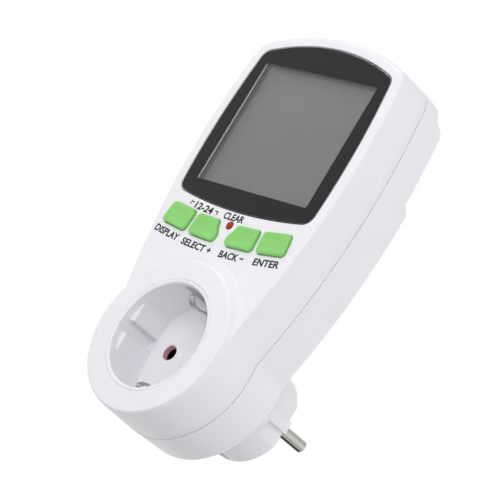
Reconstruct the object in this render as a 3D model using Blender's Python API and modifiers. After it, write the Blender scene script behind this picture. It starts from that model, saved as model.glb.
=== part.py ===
"""Plug-in power meter: a mains plug behind, a mains socket in front, a display and five buttons.

Metres, +Z up. The meter hangs upright on a wall socket: its face looks along -Y, its plug points
along +Y. The origin is the centre of the plug's front face. Depths are measured from the plane of
the socket's mouth, backwards. Heights are measured from the axis of the socket.
"""
import math

import bmesh
import bpy
from mathutils import Matrix

# Fits and faceting
CLEARANCE = 0.0003
OVERCUT = 0.0010
ARC_TOLERANCE = 0.00008
FINE_SIDES = 48
ROUND_SIDES = 20
SMALL_SIDES = 10

# Socket, to the usual 16 A two-pin pattern with side earth
WELL_RADIUS = 0.01975
WELL_DEPTH = 0.0175
WELL_FLOOR = 0.0027
MOUTH_ROUND = 0.0007
INSERT_WALL = 0.00135
INSERT_FLANGE = 0.0029
INSERT_FLANGE_THICKNESS = 0.0024
PIN_SPACING = 0.0190
PIN_RADIUS = 0.0024
PIN_LENGTH = 0.0190
PIN_HOLE_RADIUS = 0.0027
GUIDE_FLAT = 0.0172
GUIDE_SLOT = 0.0047
GUIDE_START = 0.0033
EARTH_SLOT_WIDTH = 0.0070
EARTH_SLOT_START = 0.0022

# Housing, heights stacked up from the socket's axis
LAND_WIDTH = 0.0088
LAND_RISE = 0.0025
LAND_ROUND = 0.0013
LAND_STEP = 0.0001
ROW_GAP = 0.0114
ROW_TO_LENS = 0.0089
CHIN = 0.0082
WINDOW_HEIGHT = 0.0488
WINDOW_WIDTH = 0.0551
WINDOW_CORNER = 0.0008
BROW = 0.0103
CHEEK = 0.00645
LENS_MARGIN = 0.0048
LENS_CORNER = 0.0042
CHIN_RADIUS = 0.185
TOP_RADIUS = 0.088
SIDE_RADIUS = 0.263
WIDEST_DROP = 0.0068
CORNER_RADIUS = 0.0075
NECK_RADIUS = 0.012
EDGE_ROUND = 0.0030
BACK_ROUND = 0.0035
CROWN_ROUND = 0.0050
WALL = 0.0022
FACE_WALL = 0.0032
LAP = 0.0011
LAP_LENGTH = 0.0018
SEAM = 0.0003
DRAFT = 0.035

# Depths, stacked up from the socket's mouth
LENS_SINK = 0.0002
LENS_THICKNESS = 0.0015
WINDOW_LEDGE = 0.0005
GLASS_THICKNESS = 0.0028
GLASS_LAP = 0.00175
RUBBER_HEIGHT = 0.0036
RUBBER_WIDTH = 0.0024
BOARD_THICKNESS = 0.0016
PARTING_DEPTH = 0.0184
BOARD_GAP = 0.0074
COMPONENT_ROOM = 0.0081
BACK_STEP = 0.0016
CROWN_STEP = 0.0039
BACK_STEP_DROP = 0.0425
CROWN_DROP = 0.0120
BACK_OVERLAP = 0.0130
BACK_CORNER = 0.0048
BACK_INSET = 0.0001
FAR_RADIUS = 5.0

# Plug
PLUG_RADIUS = 0.0182
PLUG_LENGTH = 0.0230
PLUG_FLAT = 0.0163
PLUG_FLAT_LENGTH = 0.0105
PLUG_RIB = 0.0041
PLUG_CHAMFER = 0.0010
PLUG_FLANGE = 0.0030
PLUG_FLANGE_THICKNESS = 0.0020
COLLAR_WIDTH = 0.0016
COLLAR_HEIGHT = 0.0014

# Earth strips and current bars
STRIP = 0.0006
CLIP_WIDTH = 0.0045
CLIP_REACH = 0.0155
CLIP_FLARE = 0.0026
CLIP_TIP_DEPTH = 0.0052
CLIP_BEND_DEPTH = 0.0082
PLUG_CLIP_HEIGHT = 0.0164
PLUG_CLIP_BULGE = 0.0008
CONTACT_WALL = 0.0010
CONTACT_BORE = 0.0026
CONTACT_SLIT = 0.0012
BAR = 0.0008
BAR_WIDTH = 0.0060
POST_RADIUS = 0.0020

# Buttons
ROW_RADIUS = 0.194
BUTTON_HEIGHT = 0.0082
INNER_START = 0.0027
INNER_WIDTH = 0.0129
BUTTON_SPACE = 0.0024
ROW_SIDE = 0.0086
BUTTON_CORNER = 0.0016
BUTTON_PROUD = 0.0013
BUTTON_EDGE = 0.0008
BUTTON_TRAVEL = 0.0010
BUTTON_FLANGE = 0.0007
BUTTON_FLANGE_THICKNESS = 0.0010
STEM_WIDTH = 0.0062
STEM_HEIGHT = 0.0046
PILL_RADIUS = 0.0024
PILL_THICKNESS = 0.0012
MAT_THICKNESS = 0.0012
MAT_MARGIN = 0.0018
RESET_RISE = 0.0035
RESET_RADIUS = 0.0013
RESET_PROUD = 0.0005
RESET_TRAVEL = 0.0005
RESET_FLANGE = 0.0008
BITE_RADIUS = 0.0043
SWITCH_SIDE = 0.0042
SWITCH_HEIGHT = 0.0016

# Fasteners
CASE_BOSS = 0.0028
CASE_SCREW = 0.0012
CASE_HEAD = 0.0023
CASE_HEAD_HEIGHT = 0.0018
CASE_SCREW_LENGTH = 0.0120
CASE_SEAT = 0.0040
CROWN_SCREW_X = 0.0220
CROWN_SCREW_DROP = 0.0087
FOOT_SCREW_RISE = 0.0205
FOOT_SCREW_INSET = 0.0072
BOARD_BOSS = 0.0021
BOARD_SCREW = 0.0010
BOARD_HEAD = 0.0019
BOARD_HEAD_HEIGHT = 0.0012
BOARD_SCREW_LENGTH = 0.0060
BOARD_MARGIN = 0.0014
BOARD_CORNER = 0.0020
POWER_BOARD_WIDTH = 0.0520
POWER_BOARD_HEIGHT = 0.0620
POWER_BOARD_RISE = 0.0095
POWER_SCREW_INSET = 0.0040

# Small components: width, height and thickness, or radius and length
HEADER_SIZE = (0.0200, 0.0050)
CAPACITOR_SIZE = (0.0180, 0.0130, 0.0070)
CHIP_SIZE = (0.0100, 0.0040, 0.0015)
SHUNT_SIZE = (0.0100, 0.0030, 0.0015)
FILTER_RADIUS = 0.00315
FILTER_LENGTH = 0.0110
VARISTOR_RADIUS = 0.0050
VARISTOR_THICKNESS = 0.0040
FUSE_RADIUS = 0.0025
FUSE_LENGTH = 0.0120
BLOB_RADIUS = 0.0060
BLOB_HEIGHT = 0.0015
CRYSTAL_RADIUS = 0.0010
CRYSTAL_LENGTH = 0.0060
CELL_RADIUS = 0.0100
CELL_THICKNESS = 0.0032
HOLDER_WALL = 0.0012
HOLDER_FLOOR = 0.0010

# Heights that follow
INSERT_RADIUS = WELL_RADIUS + INSERT_WALL
END_RADIUS = INSERT_RADIUS + LAND_WIDTH
ROW_Z = END_RADIUS + ROW_GAP
LENS_BOTTOM = ROW_Z + ROW_TO_LENS
WINDOW_BOTTOM = LENS_BOTTOM + CHIN
WINDOW_Z = WINDOW_BOTTOM + WINDOW_HEIGHT / 2
WINDOW_TOP = WINDOW_BOTTOM + WINDOW_HEIGHT
TOP_Z = WINDOW_TOP + BROW + LENS_MARGIN
HALF_WIDTH = WINDOW_WIDTH / 2 + CHEEK + LENS_MARGIN
WIDEST_Z = WINDOW_Z - WIDEST_DROP
RESET_Z = ROW_Z + RESET_RISE
OUTER_WIDTH = HALF_WIDTH - ROW_SIDE - INNER_START - INNER_WIDTH - BUTTON_SPACE
BACK_STEP_Z = TOP_Z - BACK_STEP_DROP
CROWN_Z = TOP_Z - CROWN_DROP

# Depths that follow
FACE = LAND_RISE
INNER_FACE = FACE + FACE_WALL
LENS_FRONT = FACE + LENS_SINK
LENS_BACK = LENS_FRONT + LENS_THICKNESS
GLASS_FRONT = INNER_FACE + CLEARANCE
GLASS_BACK = GLASS_FRONT + GLASS_THICKNESS
BOARD_FRONT = GLASS_BACK + RUBBER_HEIGHT + 2 * CLEARANCE
BOARD_BACK = BOARD_FRONT + BOARD_THICKNESS
POWER_FRONT = BOARD_BACK + BOARD_GAP
POWER_BACK = POWER_FRONT + BOARD_THICKNESS
BACK_UPPER = POWER_BACK + COMPONENT_ROOM + WALL
BACK_LOWER = BACK_UPPER + BACK_STEP
BACK_CROWN = BACK_UPPER - CROWN_STEP
PLUG_REACH = BACK_LOWER + PLUG_LENGTH
INSERT_BACK = WELL_DEPTH + WELL_FLOOR
PLUG_FLANGE_BACK = BACK_LOWER - WALL - CLEARANCE
PLUG_FLANGE_FRONT = PLUG_FLANGE_BACK - PLUG_FLANGE_THICKNESS
BAR_BACK = PLUG_FLANGE_FRONT - CLEARANCE
BAR_FRONT = BAR_BACK - BAR
CONTACT_FRONT = INSERT_BACK + CLEARANCE
CONTACT_BACK = BAR_FRONT - CLEARANCE
PIN_X = PIN_SPACING / 2
CASE_SCREW_SEAT = PARTING_DEPTH + CASE_SEAT

PARTS = bpy.data.collections.new("power_meter")
WORKSHOP = bpy.data.collections.new("workshop")


def clear_scene():
    """Remove every object of the open file, so that only the meter is left."""
    for obj in list(bpy.data.objects):
        bpy.data.objects.remove(obj, do_unlink=True)


def finish_of(name, colour, roughness, metallic=0.0):
    """A plain Principled material."""
    material = bpy.data.materials.new(name)
    material.use_nodes = True
    shader = material.node_tree.nodes["Principled BSDF"]
    shader.inputs["Base Color"].default_value = (*colour, 1.0)
    shader.inputs["Roughness"].default_value = roughness
    shader.inputs["Metallic"].default_value = metallic
    return material


# Outlines, as lists of (x, z) points
def angle_to(start, end):
    """Direction from one point to another."""
    return math.atan2(end[1] - start[1], end[0] - start[0])


def arc(centre, radius, start, end):
    """Points of an arc, both ends included, fine enough for its radius."""
    ratio = min(0.5, ARC_TOLERANCE / radius)
    step = 2 * math.acos(1 - ratio)
    count = max(2, math.ceil(abs(end - start) / step))
    angles = [start + (end - start) * i / count for i in range(count + 1)]
    return [(centre[0] + radius * math.cos(a), centre[1] + radius * math.sin(a)) for a in angles]


def circle_cross(a, radius_a, b, radius_b, highest=True):
    """The higher or the lower of the two points where two circles cross."""
    gap = math.dist(a, b)
    along = (gap**2 + radius_a**2 - radius_b**2) / (2 * gap)
    aside = math.sqrt(max(0.0, radius_a**2 - along**2))
    ux = (b[0] - a[0]) / gap
    uz = (b[1] - a[1]) / gap
    points = [(a[0] + along * ux - s * aside * uz, a[1] + along * uz + s * aside * ux) for s in (-1, 1)]
    points.sort(key=lambda point: point[1])
    return points[1] if highest else points[0]


def mirrored(right):
    """Close a right-hand half outline with its mirror image, without double points."""
    left = [(-x, z) for x, z in reversed(right)]
    outline = []
    for x, z in right + left:
        if not outline or math.dist(outline[-1], (x, z)) > 1e-6:
            outline.append((x, z))
    if math.dist(outline[0], outline[-1]) < 1e-6:
        outline.pop()
    return outline


def side_centre():
    """Centre of the long arc that forms the right side of the housing."""
    return (HALF_WIDTH - SIDE_RADIUS, WIDEST_Z)


def half_width_at(z, inset=0.0):
    """Half width of the housing at a height, measured to its side arc."""
    centre = side_centre()
    return centre[0] + math.sqrt((SIDE_RADIUS - inset) ** 2 - (z - centre[1]) ** 2)


def housing_outline(inset=0.0, apex=TOP_Z, top_radius=TOP_RADIUS, corner=CORNER_RADIUS):
    """Round end, soft neck, long side arcs and crowned top, all set in by the same distance."""
    axis = (0.0, 0.0)
    side = side_centre()
    top = (0.0, apex - top_radius)
    neck = circle_cross(side, SIDE_RADIUS + NECK_RADIUS, axis, END_RADIUS + NECK_RADIUS)
    shoulder = circle_cross(side, SIDE_RADIUS - corner, top, top_radius - corner)
    neck_turn = angle_to(axis, neck)
    right = arc(axis, END_RADIUS - inset, -math.pi / 2, neck_turn)
    right += arc(neck, NECK_RADIUS + inset, neck_turn + math.pi, angle_to(neck, side))
    right += arc(side, SIDE_RADIUS - inset, angle_to(side, neck), angle_to(side, shoulder))
    right += arc(shoulder, corner - inset, angle_to(side, shoulder), angle_to(top, shoulder))
    right += arc(top, top_radius - inset, angle_to(top, shoulder), math.pi / 2)
    return mirrored(right)


def bulged_outline(side_radius, top_centre, top_radius, bottom_centre, bottom_radius, corner):
    """An outline between two side arcs, a top arc and a bottom arc, with round corners."""
    side = side_centre()
    low = circle_cross(side, side_radius - corner, bottom_centre, bottom_radius - corner, False)
    high = circle_cross(side, side_radius - corner, top_centre, top_radius - corner)
    right = arc(bottom_centre, bottom_radius, -math.pi / 2, angle_to(bottom_centre, low))
    right += arc(low, corner, angle_to(bottom_centre, low), angle_to(side, low))
    right += arc(side, side_radius, angle_to(side, low), angle_to(side, high))
    right += arc(high, corner, angle_to(side, high), angle_to(top_centre, high))
    right += arc(top_centre, top_radius, angle_to(top_centre, high), math.pi / 2)
    return mirrored(right)


def lens_outline(grow=0.0):
    """The lens follows the housing's sides and top, and has a gently bowed lower edge."""
    return bulged_outline(
        SIDE_RADIUS - LENS_MARGIN + grow,
        (0.0, TOP_Z - TOP_RADIUS),
        TOP_RADIUS - LENS_MARGIN + grow,
        (0.0, LENS_BOTTOM + CHIN_RADIUS),
        CHIN_RADIUS + grow,
        LENS_CORNER + grow,
    )


def board_outline(top, bottom):
    """The control board follows the housing's inner wall between two level ends."""
    return bulged_outline(
        SIDE_RADIUS - WALL - BOARD_MARGIN,
        (0.0, top - FAR_RADIUS),
        FAR_RADIUS,
        (0.0, bottom + FAR_RADIUS),
        FAR_RADIUS,
        BOARD_CORNER,
    )


def round_rectangle(x, z, width, height, corner):
    """A rectangle with round corners about a centre."""
    points = []
    for turn, (sx, sz) in enumerate(((1, -1), (1, 1), (-1, 1), (-1, -1))):
        centre = (x + sx * (width / 2 - corner), z + sz * (height / 2 - corner))
        start = (turn - 1) * math.pi / 2
        points += arc(centre, corner, start, start + math.pi / 2)
    return points


def bent(points):
    """Bend points about a level row into the smiling arc of the button row."""
    result = []
    for u, v in points:
        turn = u / ROW_RADIUS
        radius = ROW_RADIUS - v
        result.append((radius * math.sin(turn), ROW_Z + ROW_RADIUS - radius * math.cos(turn)))
    return result


# Solids: depths run backwards from the mouth of the socket
def add_object(mesh):
    """Link a mesh to the workshop as an object."""
    obj = bpy.data.objects.new("piece", mesh)
    WORKSHOP.objects.link(obj)
    return obj


def from_bmesh(bm):
    """Turn a bmesh into an object with its faces pointing out."""
    bmesh.ops.recalc_face_normals(bm, faces=bm.faces)
    mesh = bpy.data.meshes.new("piece")
    bm.to_mesh(mesh)
    bm.free()
    return add_object(mesh)


def settle(obj):
    """Apply an object's modifiers and its place, and weld what the shape left open."""
    bpy.context.view_layer.update()
    graph = bpy.context.evaluated_depsgraph_get()
    mesh = bpy.data.meshes.new_from_object(obj.evaluated_get(graph))
    mesh.transform(obj.matrix_world)
    bm = bmesh.new()
    bm.from_mesh(mesh)
    bmesh.ops.remove_doubles(bm, verts=bm.verts, dist=1e-7)
    bpy.data.objects.remove(obj, do_unlink=True)
    return from_bmesh(bm)


def plate(loops, front, back):
    """A flat solid of one or more outlines between two depths; an inner outline is a hole."""
    curve = bpy.data.curves.new("outline", "CURVE")
    curve.dimensions = "2D"
    curve.fill_mode = "BOTH"
    curve.extrude = (back - front) / 2
    for loop in loops:
        spline = curve.splines.new("POLY")
        spline.points.add(len(loop) - 1)
        spline.use_cyclic_u = True
        for point, (x, z) in zip(spline.points, loop):
            point.co = (x, z, 0.0, 1.0)
    obj = bpy.data.objects.new("outline", curve)
    WORKSHOP.objects.link(obj)
    middle = (front + back) / 2 - PLUG_REACH
    obj.matrix_world = Matrix.Translation((0.0, middle, 0.0)) @ Matrix.Rotation(math.pi / 2, 4, "X")
    return settle(obj)


def rounded_plate(loop, front, back, round_front=0.0, round_back=0.0, segments=3, draft=0.0):
    """A flat solid whose front or back rim is rounded; with draft its walls lean in towards that rim."""
    obj = plate([loop], front, back)
    bm = bmesh.new()
    bm.from_mesh(obj.data)
    for depth, radius in ((front, round_front), (back, round_back)):
        level = depth - PLUG_REACH
        cap = [f for f in bm.faces if all(abs(v.co.y - level) < 1e-6 for v in f.verts)]
        face = bmesh.ops.dissolve_faces(bm, faces=cap)["region"][0]
        if radius > 0.0:
            draw_in(face, draft * (back - front))
            rim = list(face.edges)
            bmesh.ops.bevel(bm, geom=rim, offset=radius, segments=segments, profile=0.5, affect="EDGES")
    bpy.data.objects.remove(obj, do_unlink=True)
    return from_bmesh(bm)


def draw_in(face, distance):
    """Move the corners of a flat face inwards, each along the bisector of its two edges."""
    moves = []
    for corner in face.loops:
        here = corner.vert.co
        arriving = (here - corner.link_loop_prev.vert.co).normalized()
        leaving = (corner.link_loop_next.vert.co - here).normalized()
        inward = face.normal.cross(arriving + leaving) / (1 + arriving.dot(leaving))
        moves.append((corner.vert, here + inward * distance))
    for vert, place in moves:
        vert.co = place


def rod(x, z, radius, front, back, sides=ROUND_SIDES):
    """A cylinder along the depth."""
    bm = bmesh.new()
    bmesh.ops.create_cone(
        bm, cap_ends=True, segments=sides, radius1=radius, radius2=radius, depth=back - front
    )
    place = Matrix.Translation((x, (front + back) / 2 - PLUG_REACH, z))
    bmesh.ops.transform(bm, matrix=place @ Matrix.Rotation(math.pi / 2, 4, "X"), verts=bm.verts)
    return from_bmesh(bm)


def lying_rod(start, end, radius, sides=ROUND_SIDES):
    """A cylinder between two points, given as (x, depth, z)."""
    a = Matrix.Translation((start[0], start[1] - PLUG_REACH, start[2])).translation
    b = Matrix.Translation((end[0], end[1] - PLUG_REACH, end[2])).translation
    turn = (b - a).to_track_quat("Z", "Y").to_matrix().to_4x4()
    bm = bmesh.new()
    bmesh.ops.create_cone(
        bm, cap_ends=True, segments=sides, radius1=radius, radius2=radius, depth=(b - a).length
    )
    bmesh.ops.transform(bm, matrix=Matrix.Translation((a + b) / 2) @ turn, verts=bm.verts)
    return from_bmesh(bm)


def block(x, z, width, height, front, back, rounding=0.0):
    """A box about (x, z) between two depths, with its edges rounded."""
    bm = bmesh.new()
    bmesh.ops.create_cube(bm, size=1.0)
    size = Matrix.Diagonal((width, back - front, height, 1.0))
    place = Matrix.Translation((x, (front + back) / 2 - PLUG_REACH, z))
    bmesh.ops.transform(bm, matrix=place @ size, verts=bm.verts)
    if rounding > 0.0:
        bmesh.ops.bevel(bm, geom=bm.edges, offset=rounding, segments=2, profile=0.5, affect="EDGES")
    return from_bmesh(bm)


def turned(x, z, profile, sides=ROUND_SIDES):
    """A solid turned about the depth axis through (x, z) from (radius, depth) points, axis to axis."""
    mesh = bpy.data.meshes.new("profile")
    points = [(radius, 0.0, -depth) for radius, depth in profile]
    edges = [(i, i + 1) for i in range(len(points) - 1)]
    mesh.from_pydata(points, edges, [])
    obj = add_object(mesh)
    screw = obj.modifiers.new("turn", "SCREW")
    screw.axis = "Z"
    screw.steps = sides
    screw.render_steps = sides
    screw.use_merge_vertices = True
    screw.merge_threshold = 1e-6
    obj.matrix_world = Matrix.Translation((x, -PLUG_REACH, z)) @ Matrix.Rotation(math.pi / 2, 4, "X")
    return settle(obj)


def strip(path, x, width, thickness=STRIP):
    """A bent metal strip: a (depth, z) path drawn across its width and thickened."""
    bm = bmesh.new()
    verts = [bm.verts.new((x - width / 2, depth - PLUG_REACH, z)) for depth, z in path]
    edges = [bm.edges.new(pair) for pair in zip(verts, verts[1:])]
    swept = bmesh.ops.extrude_edge_only(bm, edges=edges)
    new_verts = [g for g in swept["geom"] if isinstance(g, bmesh.types.BMVert)]
    bmesh.ops.translate(bm, vec=(width, 0.0, 0.0), verts=new_verts)
    obj = from_bmesh(bm)
    solidify = obj.modifiers.new("thickness", "SOLIDIFY")
    solidify.thickness = thickness
    solidify.offset = 0.0
    solidify.use_even_offset = True
    return settle(obj)


def combine(target, tools, operation):
    """Cut tools from a solid, fuse them to it or keep what they share, one after another."""
    for tool in tools:
        modifier = target.modifiers.new("combine", "BOOLEAN")
        modifier.operation = operation
        modifier.object = tool
        target = settle(target)
        bpy.data.objects.remove(tool, do_unlink=True)
    return target


def cut(target, *tools):
    return combine(target, tools, "DIFFERENCE")


def fuse(target, *tools):
    return combine(target, tools, "UNION")


def shared(target, *tools):
    return combine(target, tools, "INTERSECT")


def finish(obj, name, material, origin=None):
    """Name a piece, give it its material and origin, and hang it on the meter."""
    bm = bmesh.new()
    bm.from_mesh(obj.data)
    bmesh.ops.dissolve_degenerate(bm, edges=bm.edges, dist=1e-7)
    bm.to_mesh(obj.data)
    bm.free()
    if origin is None:
        corners = [obj.matrix_world @ v.co for v in obj.data.vertices]
        origin = [(min(c[i] for c in corners) + max(c[i] for c in corners)) / 2 for i in range(3)]
    obj.data.transform(Matrix.Translation([-value for value in origin]))
    obj.location = origin
    obj.name = name
    obj.data.name = name
    obj.data.materials.clear()
    obj.data.materials.append(material)
    obj.data.shade_smooth()
    obj.data.set_sharp_from_angle(angle=math.radians(30))
    WORKSHOP.objects.unlink(obj)
    PARTS.objects.link(obj)
    obj.parent = METER
    return obj


# Places of the fasteners
def case_screw_places():
    """Two screws under the crown and two beside the neck."""
    foot_x = half_width_at(FOOT_SCREW_RISE) - FOOT_SCREW_INSET
    crown_z = TOP_Z - CROWN_SCREW_DROP
    crown = [(-CROWN_SCREW_X, crown_z), (CROWN_SCREW_X, crown_z)]
    return crown + [(-foot_x, FOOT_SCREW_RISE), (foot_x, FOOT_SCREW_RISE)]


def glass_size():
    """The display glass laps behind the window on every side."""
    return (WINDOW_WIDTH + 2 * GLASS_LAP, WINDOW_HEIGHT + 2 * GLASS_LAP)


def board_screw_places():
    """Two screws beside the top of the glass and two below it."""
    width, height = glass_size()
    places = []
    for z in (WINDOW_Z + height / 2 - 2 * BOARD_BOSS, WINDOW_Z - height / 2 - 2 * BOARD_BOSS):
        x = half_width_at(z) - WALL - BOARD_BOSS - CLEARANCE
        places += [(-x, z), (x, z)]
    return places


def power_board_bottom():
    return END_RADIUS + POWER_BOARD_RISE - WALL


def power_board_z():
    return power_board_bottom() + POWER_BOARD_HEIGHT / 2


def power_screw_places():
    """Two screws in opposite corners of the power board."""
    x = POWER_BOARD_WIDTH / 2 - POWER_SCREW_INSET
    z = POWER_BOARD_HEIGHT / 2 - POWER_SCREW_INSET
    return [(-x, power_board_z() - z), (x, power_board_z() + z)]


def button_spans():
    """Name, centre along the row and width of each button, left to right."""
    inner = INNER_START + INNER_WIDTH / 2
    outer = INNER_START + INNER_WIDTH + BUTTON_SPACE + OUTER_WIDTH / 2
    return [
        ("mode_button", -outer, OUTER_WIDTH),
        ("up_button", -inner, INNER_WIDTH),
        ("down_button", inner, INNER_WIDTH),
        ("set_button", outer, OUTER_WIDTH),
    ]


def button_outline(centre, width, grow=0.0):
    """A round-cornered key bent into the row's arc."""
    flat = round_rectangle(centre, 0.0, width + 2 * grow, BUTTON_HEIGHT + 2 * grow, BUTTON_CORNER + grow)
    return bent(flat)


# Housing
def front_shell(material):
    """Face with its land, window, recess and holes; hollow behind, open at the parting plane."""
    rear = PARTING_DEPTH - SEAM / 2
    shell = rounded_plate(housing_outline(), FACE, rear, round_front=EDGE_ROUND, draft=DRAFT)
    base = FACE + EDGE_ROUND
    rim = END_RADIUS - DRAFT * (rear - LAND_ROUND) - LAND_STEP
    root = rim + DRAFT * (base - LAND_ROUND)
    crest = arc((rim - LAND_ROUND, LAND_ROUND), LAND_ROUND, -math.pi / 2, 0.0)
    crown = turned(0.0, 0.0, [(0.0, 0.0)] + crest + [(root, base), (0.0, base)], FINE_SIDES)
    sweep = LAND_RISE - LAND_ROUND
    foot = arc((rim + sweep, FACE - sweep), sweep, math.radians(160), math.pi / 2)
    skirt = [(0.0, foot[0][1])] + foot + [(foot[-1][0], base), (0.0, base)]
    fillet = turned(0.0, 0.0, skirt, FINE_SIDES)
    limit = housing_outline(EDGE_ROUND / 2 + DRAFT * (rear - FACE))
    fillet = shared(fillet, plate([limit], -OVERCUT, base + OVERCUT))
    shell = fuse(shell, crown, fillet)
    shell = cut(shell, plate([housing_outline(WALL)], INNER_FACE, PARTING_DEPTH + OVERCUT))
    shell = fuse(shell, *front_bosses(rear))
    tools = [rod(0.0, 0.0, INSERT_RADIUS + CLEARANCE, -OVERCUT, INNER_FACE + OVERCUT, FINE_SIDES)]
    tools.append(plate([lens_outline(CLEARANCE)], -OVERCUT, LENS_BACK + CLEARANCE))
    opening = round_rectangle(
        0.0,
        WINDOW_Z,
        WINDOW_WIDTH + 2 * WINDOW_LEDGE,
        WINDOW_HEIGHT + 2 * WINDOW_LEDGE,
        WINDOW_CORNER,
    )
    tools.append(plate([opening], FACE, INNER_FACE + OVERCUT))
    holes = plate(
        [button_outline(u, width, CLEARANCE) for _, u, width in button_spans()],
        -OVERCUT,
        INNER_FACE + OVERCUT,
    )
    tools.append(cut(holes, rod(0.0, RESET_Z, BITE_RADIUS - CLEARANCE, -2 * OVERCUT, PARTING_DEPTH)))
    tools.append(rod(0.0, RESET_Z, RESET_RADIUS + CLEARANCE, -OVERCUT, INNER_FACE + OVERCUT))
    lap = [housing_outline(LAP), housing_outline(WALL + OVERCUT)]
    tools.append(plate(lap, rear - LAP_LENGTH, PARTING_DEPTH + OVERCUT))
    tools += pilot_holes()
    return finish(cut(shell, *tools), "front_shell", material)


def front_bosses(rear):
    """Bosses for the case screws and for the control board, grown from the back of the face."""
    root = INNER_FACE - FACE_WALL / 2
    bosses = [rod(x, z, CASE_BOSS, root, rear) for x, z in case_screw_places()]
    for x, z in board_screw_places():
        bosses.append(rod(x, z, BOARD_BOSS, root, BOARD_FRONT - CLEARANCE, SMALL_SIDES))
    return bosses


def pilot_holes():
    """Blind holes for the screw threads."""
    holes = []
    case_tip = CASE_SCREW_SEAT - CASE_SCREW_LENGTH - CLEARANCE
    for x, z in case_screw_places():
        holes.append(rod(x, z, CASE_SCREW + CLEARANCE, case_tip, PARTING_DEPTH + OVERCUT, SMALL_SIDES))
    board_tip = BOARD_BACK + CLEARANCE - BOARD_SCREW_LENGTH - CLEARANCE
    for x, z in board_screw_places():
        holes.append(rod(x, z, BOARD_SCREW + CLEARANCE, board_tip, BOARD_FRONT + OVERCUT, SMALL_SIDES))
    return holes


def back_zones(inset):
    """The three levels of the back as (outline, depth, rim radius): lower back, upper back, crown.

    Each level starts inside the one below it and is set in by a hair, so that their walls don't lie
    on each other.
    """
    side = SIDE_RADIUS - inset
    corner = CORNER_RADIUS - inset
    top = (0.0, TOP_Z - TOP_RADIUS)
    lower = housing_outline(inset, BACK_STEP_Z, FAR_RADIUS, BACK_CORNER)
    upper_floor = (0.0, BACK_STEP_Z - BACK_OVERLAP + FAR_RADIUS)
    upper_top = (0.0, CROWN_Z - FAR_RADIUS)
    upper_side = side - BACK_INSET
    upper_corner = BACK_CORNER - inset
    upper = bulged_outline(upper_side, upper_top, FAR_RADIUS - inset, upper_floor, FAR_RADIUS, upper_corner)
    crown_floor = (0.0, CROWN_Z - BACK_OVERLAP + FAR_RADIUS)
    crown_side = side - 2 * BACK_INSET
    crown = bulged_outline(crown_side, top, TOP_RADIUS - inset, crown_floor, FAR_RADIUS, corner)
    return [
        (lower, BACK_LOWER - inset, BACK_ROUND - inset),
        (upper, BACK_UPPER - inset, BACK_ROUND - inset),
        (crown, BACK_CROWN - inset, CROWN_ROUND - inset),
    ]


def rear_shell(material):
    """Back cover in three levels with rounded rims, a lap that enters the front shell, screw wells."""
    front = PARTING_DEPTH + SEAM / 2
    bodies = []
    for level, (loop, back, radius) in enumerate(back_zones(0.0), 1):
        start = front - level * CLEARANCE
        bodies.append(rounded_plate(loop, start, back, round_back=radius, draft=DRAFT))
    shell = fuse(*bodies)
    trim = block(0.0, WINDOW_Z, 4 * HALF_WIDTH, 4 * TOP_Z, front - 2 * LAP_LENGTH, front)
    shell = cut(shell, trim)
    collar = PLUG_RADIUS + CLEARANCE + COLLAR_WIDTH
    shell = fuse(shell, rod(0.0, 0.0, collar, BACK_LOWER - WALL, BACK_LOWER + COLLAR_HEIGHT, FINE_SIDES))
    for loop, back, radius in back_zones(WALL):
        room = rounded_plate(loop, front - OVERCUT, back, round_back=radius, segments=1, draft=DRAFT)
        shell = cut(shell, room)
    lap = [housing_outline(LAP + CLEARANCE), housing_outline(WALL - BACK_INSET)]
    shell = fuse(shell, plate(lap, front - LAP_LENGTH + CLEARANCE, front + LAP_LENGTH))
    columns = []
    wells = []
    for x, z in case_screw_places():
        back = BACK_LOWER if z < BACK_STEP_Z else BACK_CROWN
        columns.append(rod(x, z, CASE_HEAD + 2 * CLEARANCE + WALL / 2, front, back - WALL / 2))
        wells.append(rod(x, z, CASE_HEAD + CLEARANCE, CASE_SCREW_SEAT, BACK_LOWER + OVERCUT))
        wells.append(rod(x, z, CASE_SCREW + CLEARANCE, front - OVERCUT, BACK_LOWER, SMALL_SIDES))
    for x, z in power_screw_places():
        back = BACK_LOWER if z < BACK_STEP_Z else BACK_UPPER
        columns.append(rod(x, z, BOARD_BOSS, POWER_BACK + CLEARANCE, back - WALL / 2, SMALL_SIDES))
        tip = POWER_FRONT - CLEARANCE + BOARD_SCREW_LENGTH + CLEARANCE
        wells.append(rod(x, z, BOARD_SCREW + CLEARANCE, POWER_FRONT, tip, SMALL_SIDES))
    shell = fuse(shell, *columns)
    plug_hole = rod(0.0, 0.0, PLUG_RADIUS + CLEARANCE, PARTING_DEPTH, PLUG_REACH, FINE_SIDES)
    return finish(cut(shell, plug_hole, *wells), "rear_shell", material)


# Display
def display(clear, glass, white, rubber):
    """Lens in the face, glass behind the window, backing block and two contact strips."""
    finish(plate([lens_outline()], LENS_FRONT, LENS_BACK), "display_lens", clear)
    width, height = glass_size()
    finish(block(0.0, WINDOW_Z, width, height, GLASS_FRONT, GLASS_BACK), "display_glass", glass)
    front = GLASS_BACK + CLEARANCE
    back = BOARD_FRONT - CLEARANCE
    strip_z = height / 2 - RUBBER_WIDTH / 2
    for name, side in (("contact_strip_top", 1), ("contact_strip_bottom", -1)):
        z = WINDOW_Z + side * strip_z
        finish(block(0.0, z, WINDOW_WIDTH, RUBBER_WIDTH, front, back), name, rubber)
    backing_height = height - 2 * RUBBER_WIDTH - 2 * CLEARANCE
    finish(block(0.0, WINDOW_Z, width, backing_height, front, back), "display_backing", white)


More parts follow.
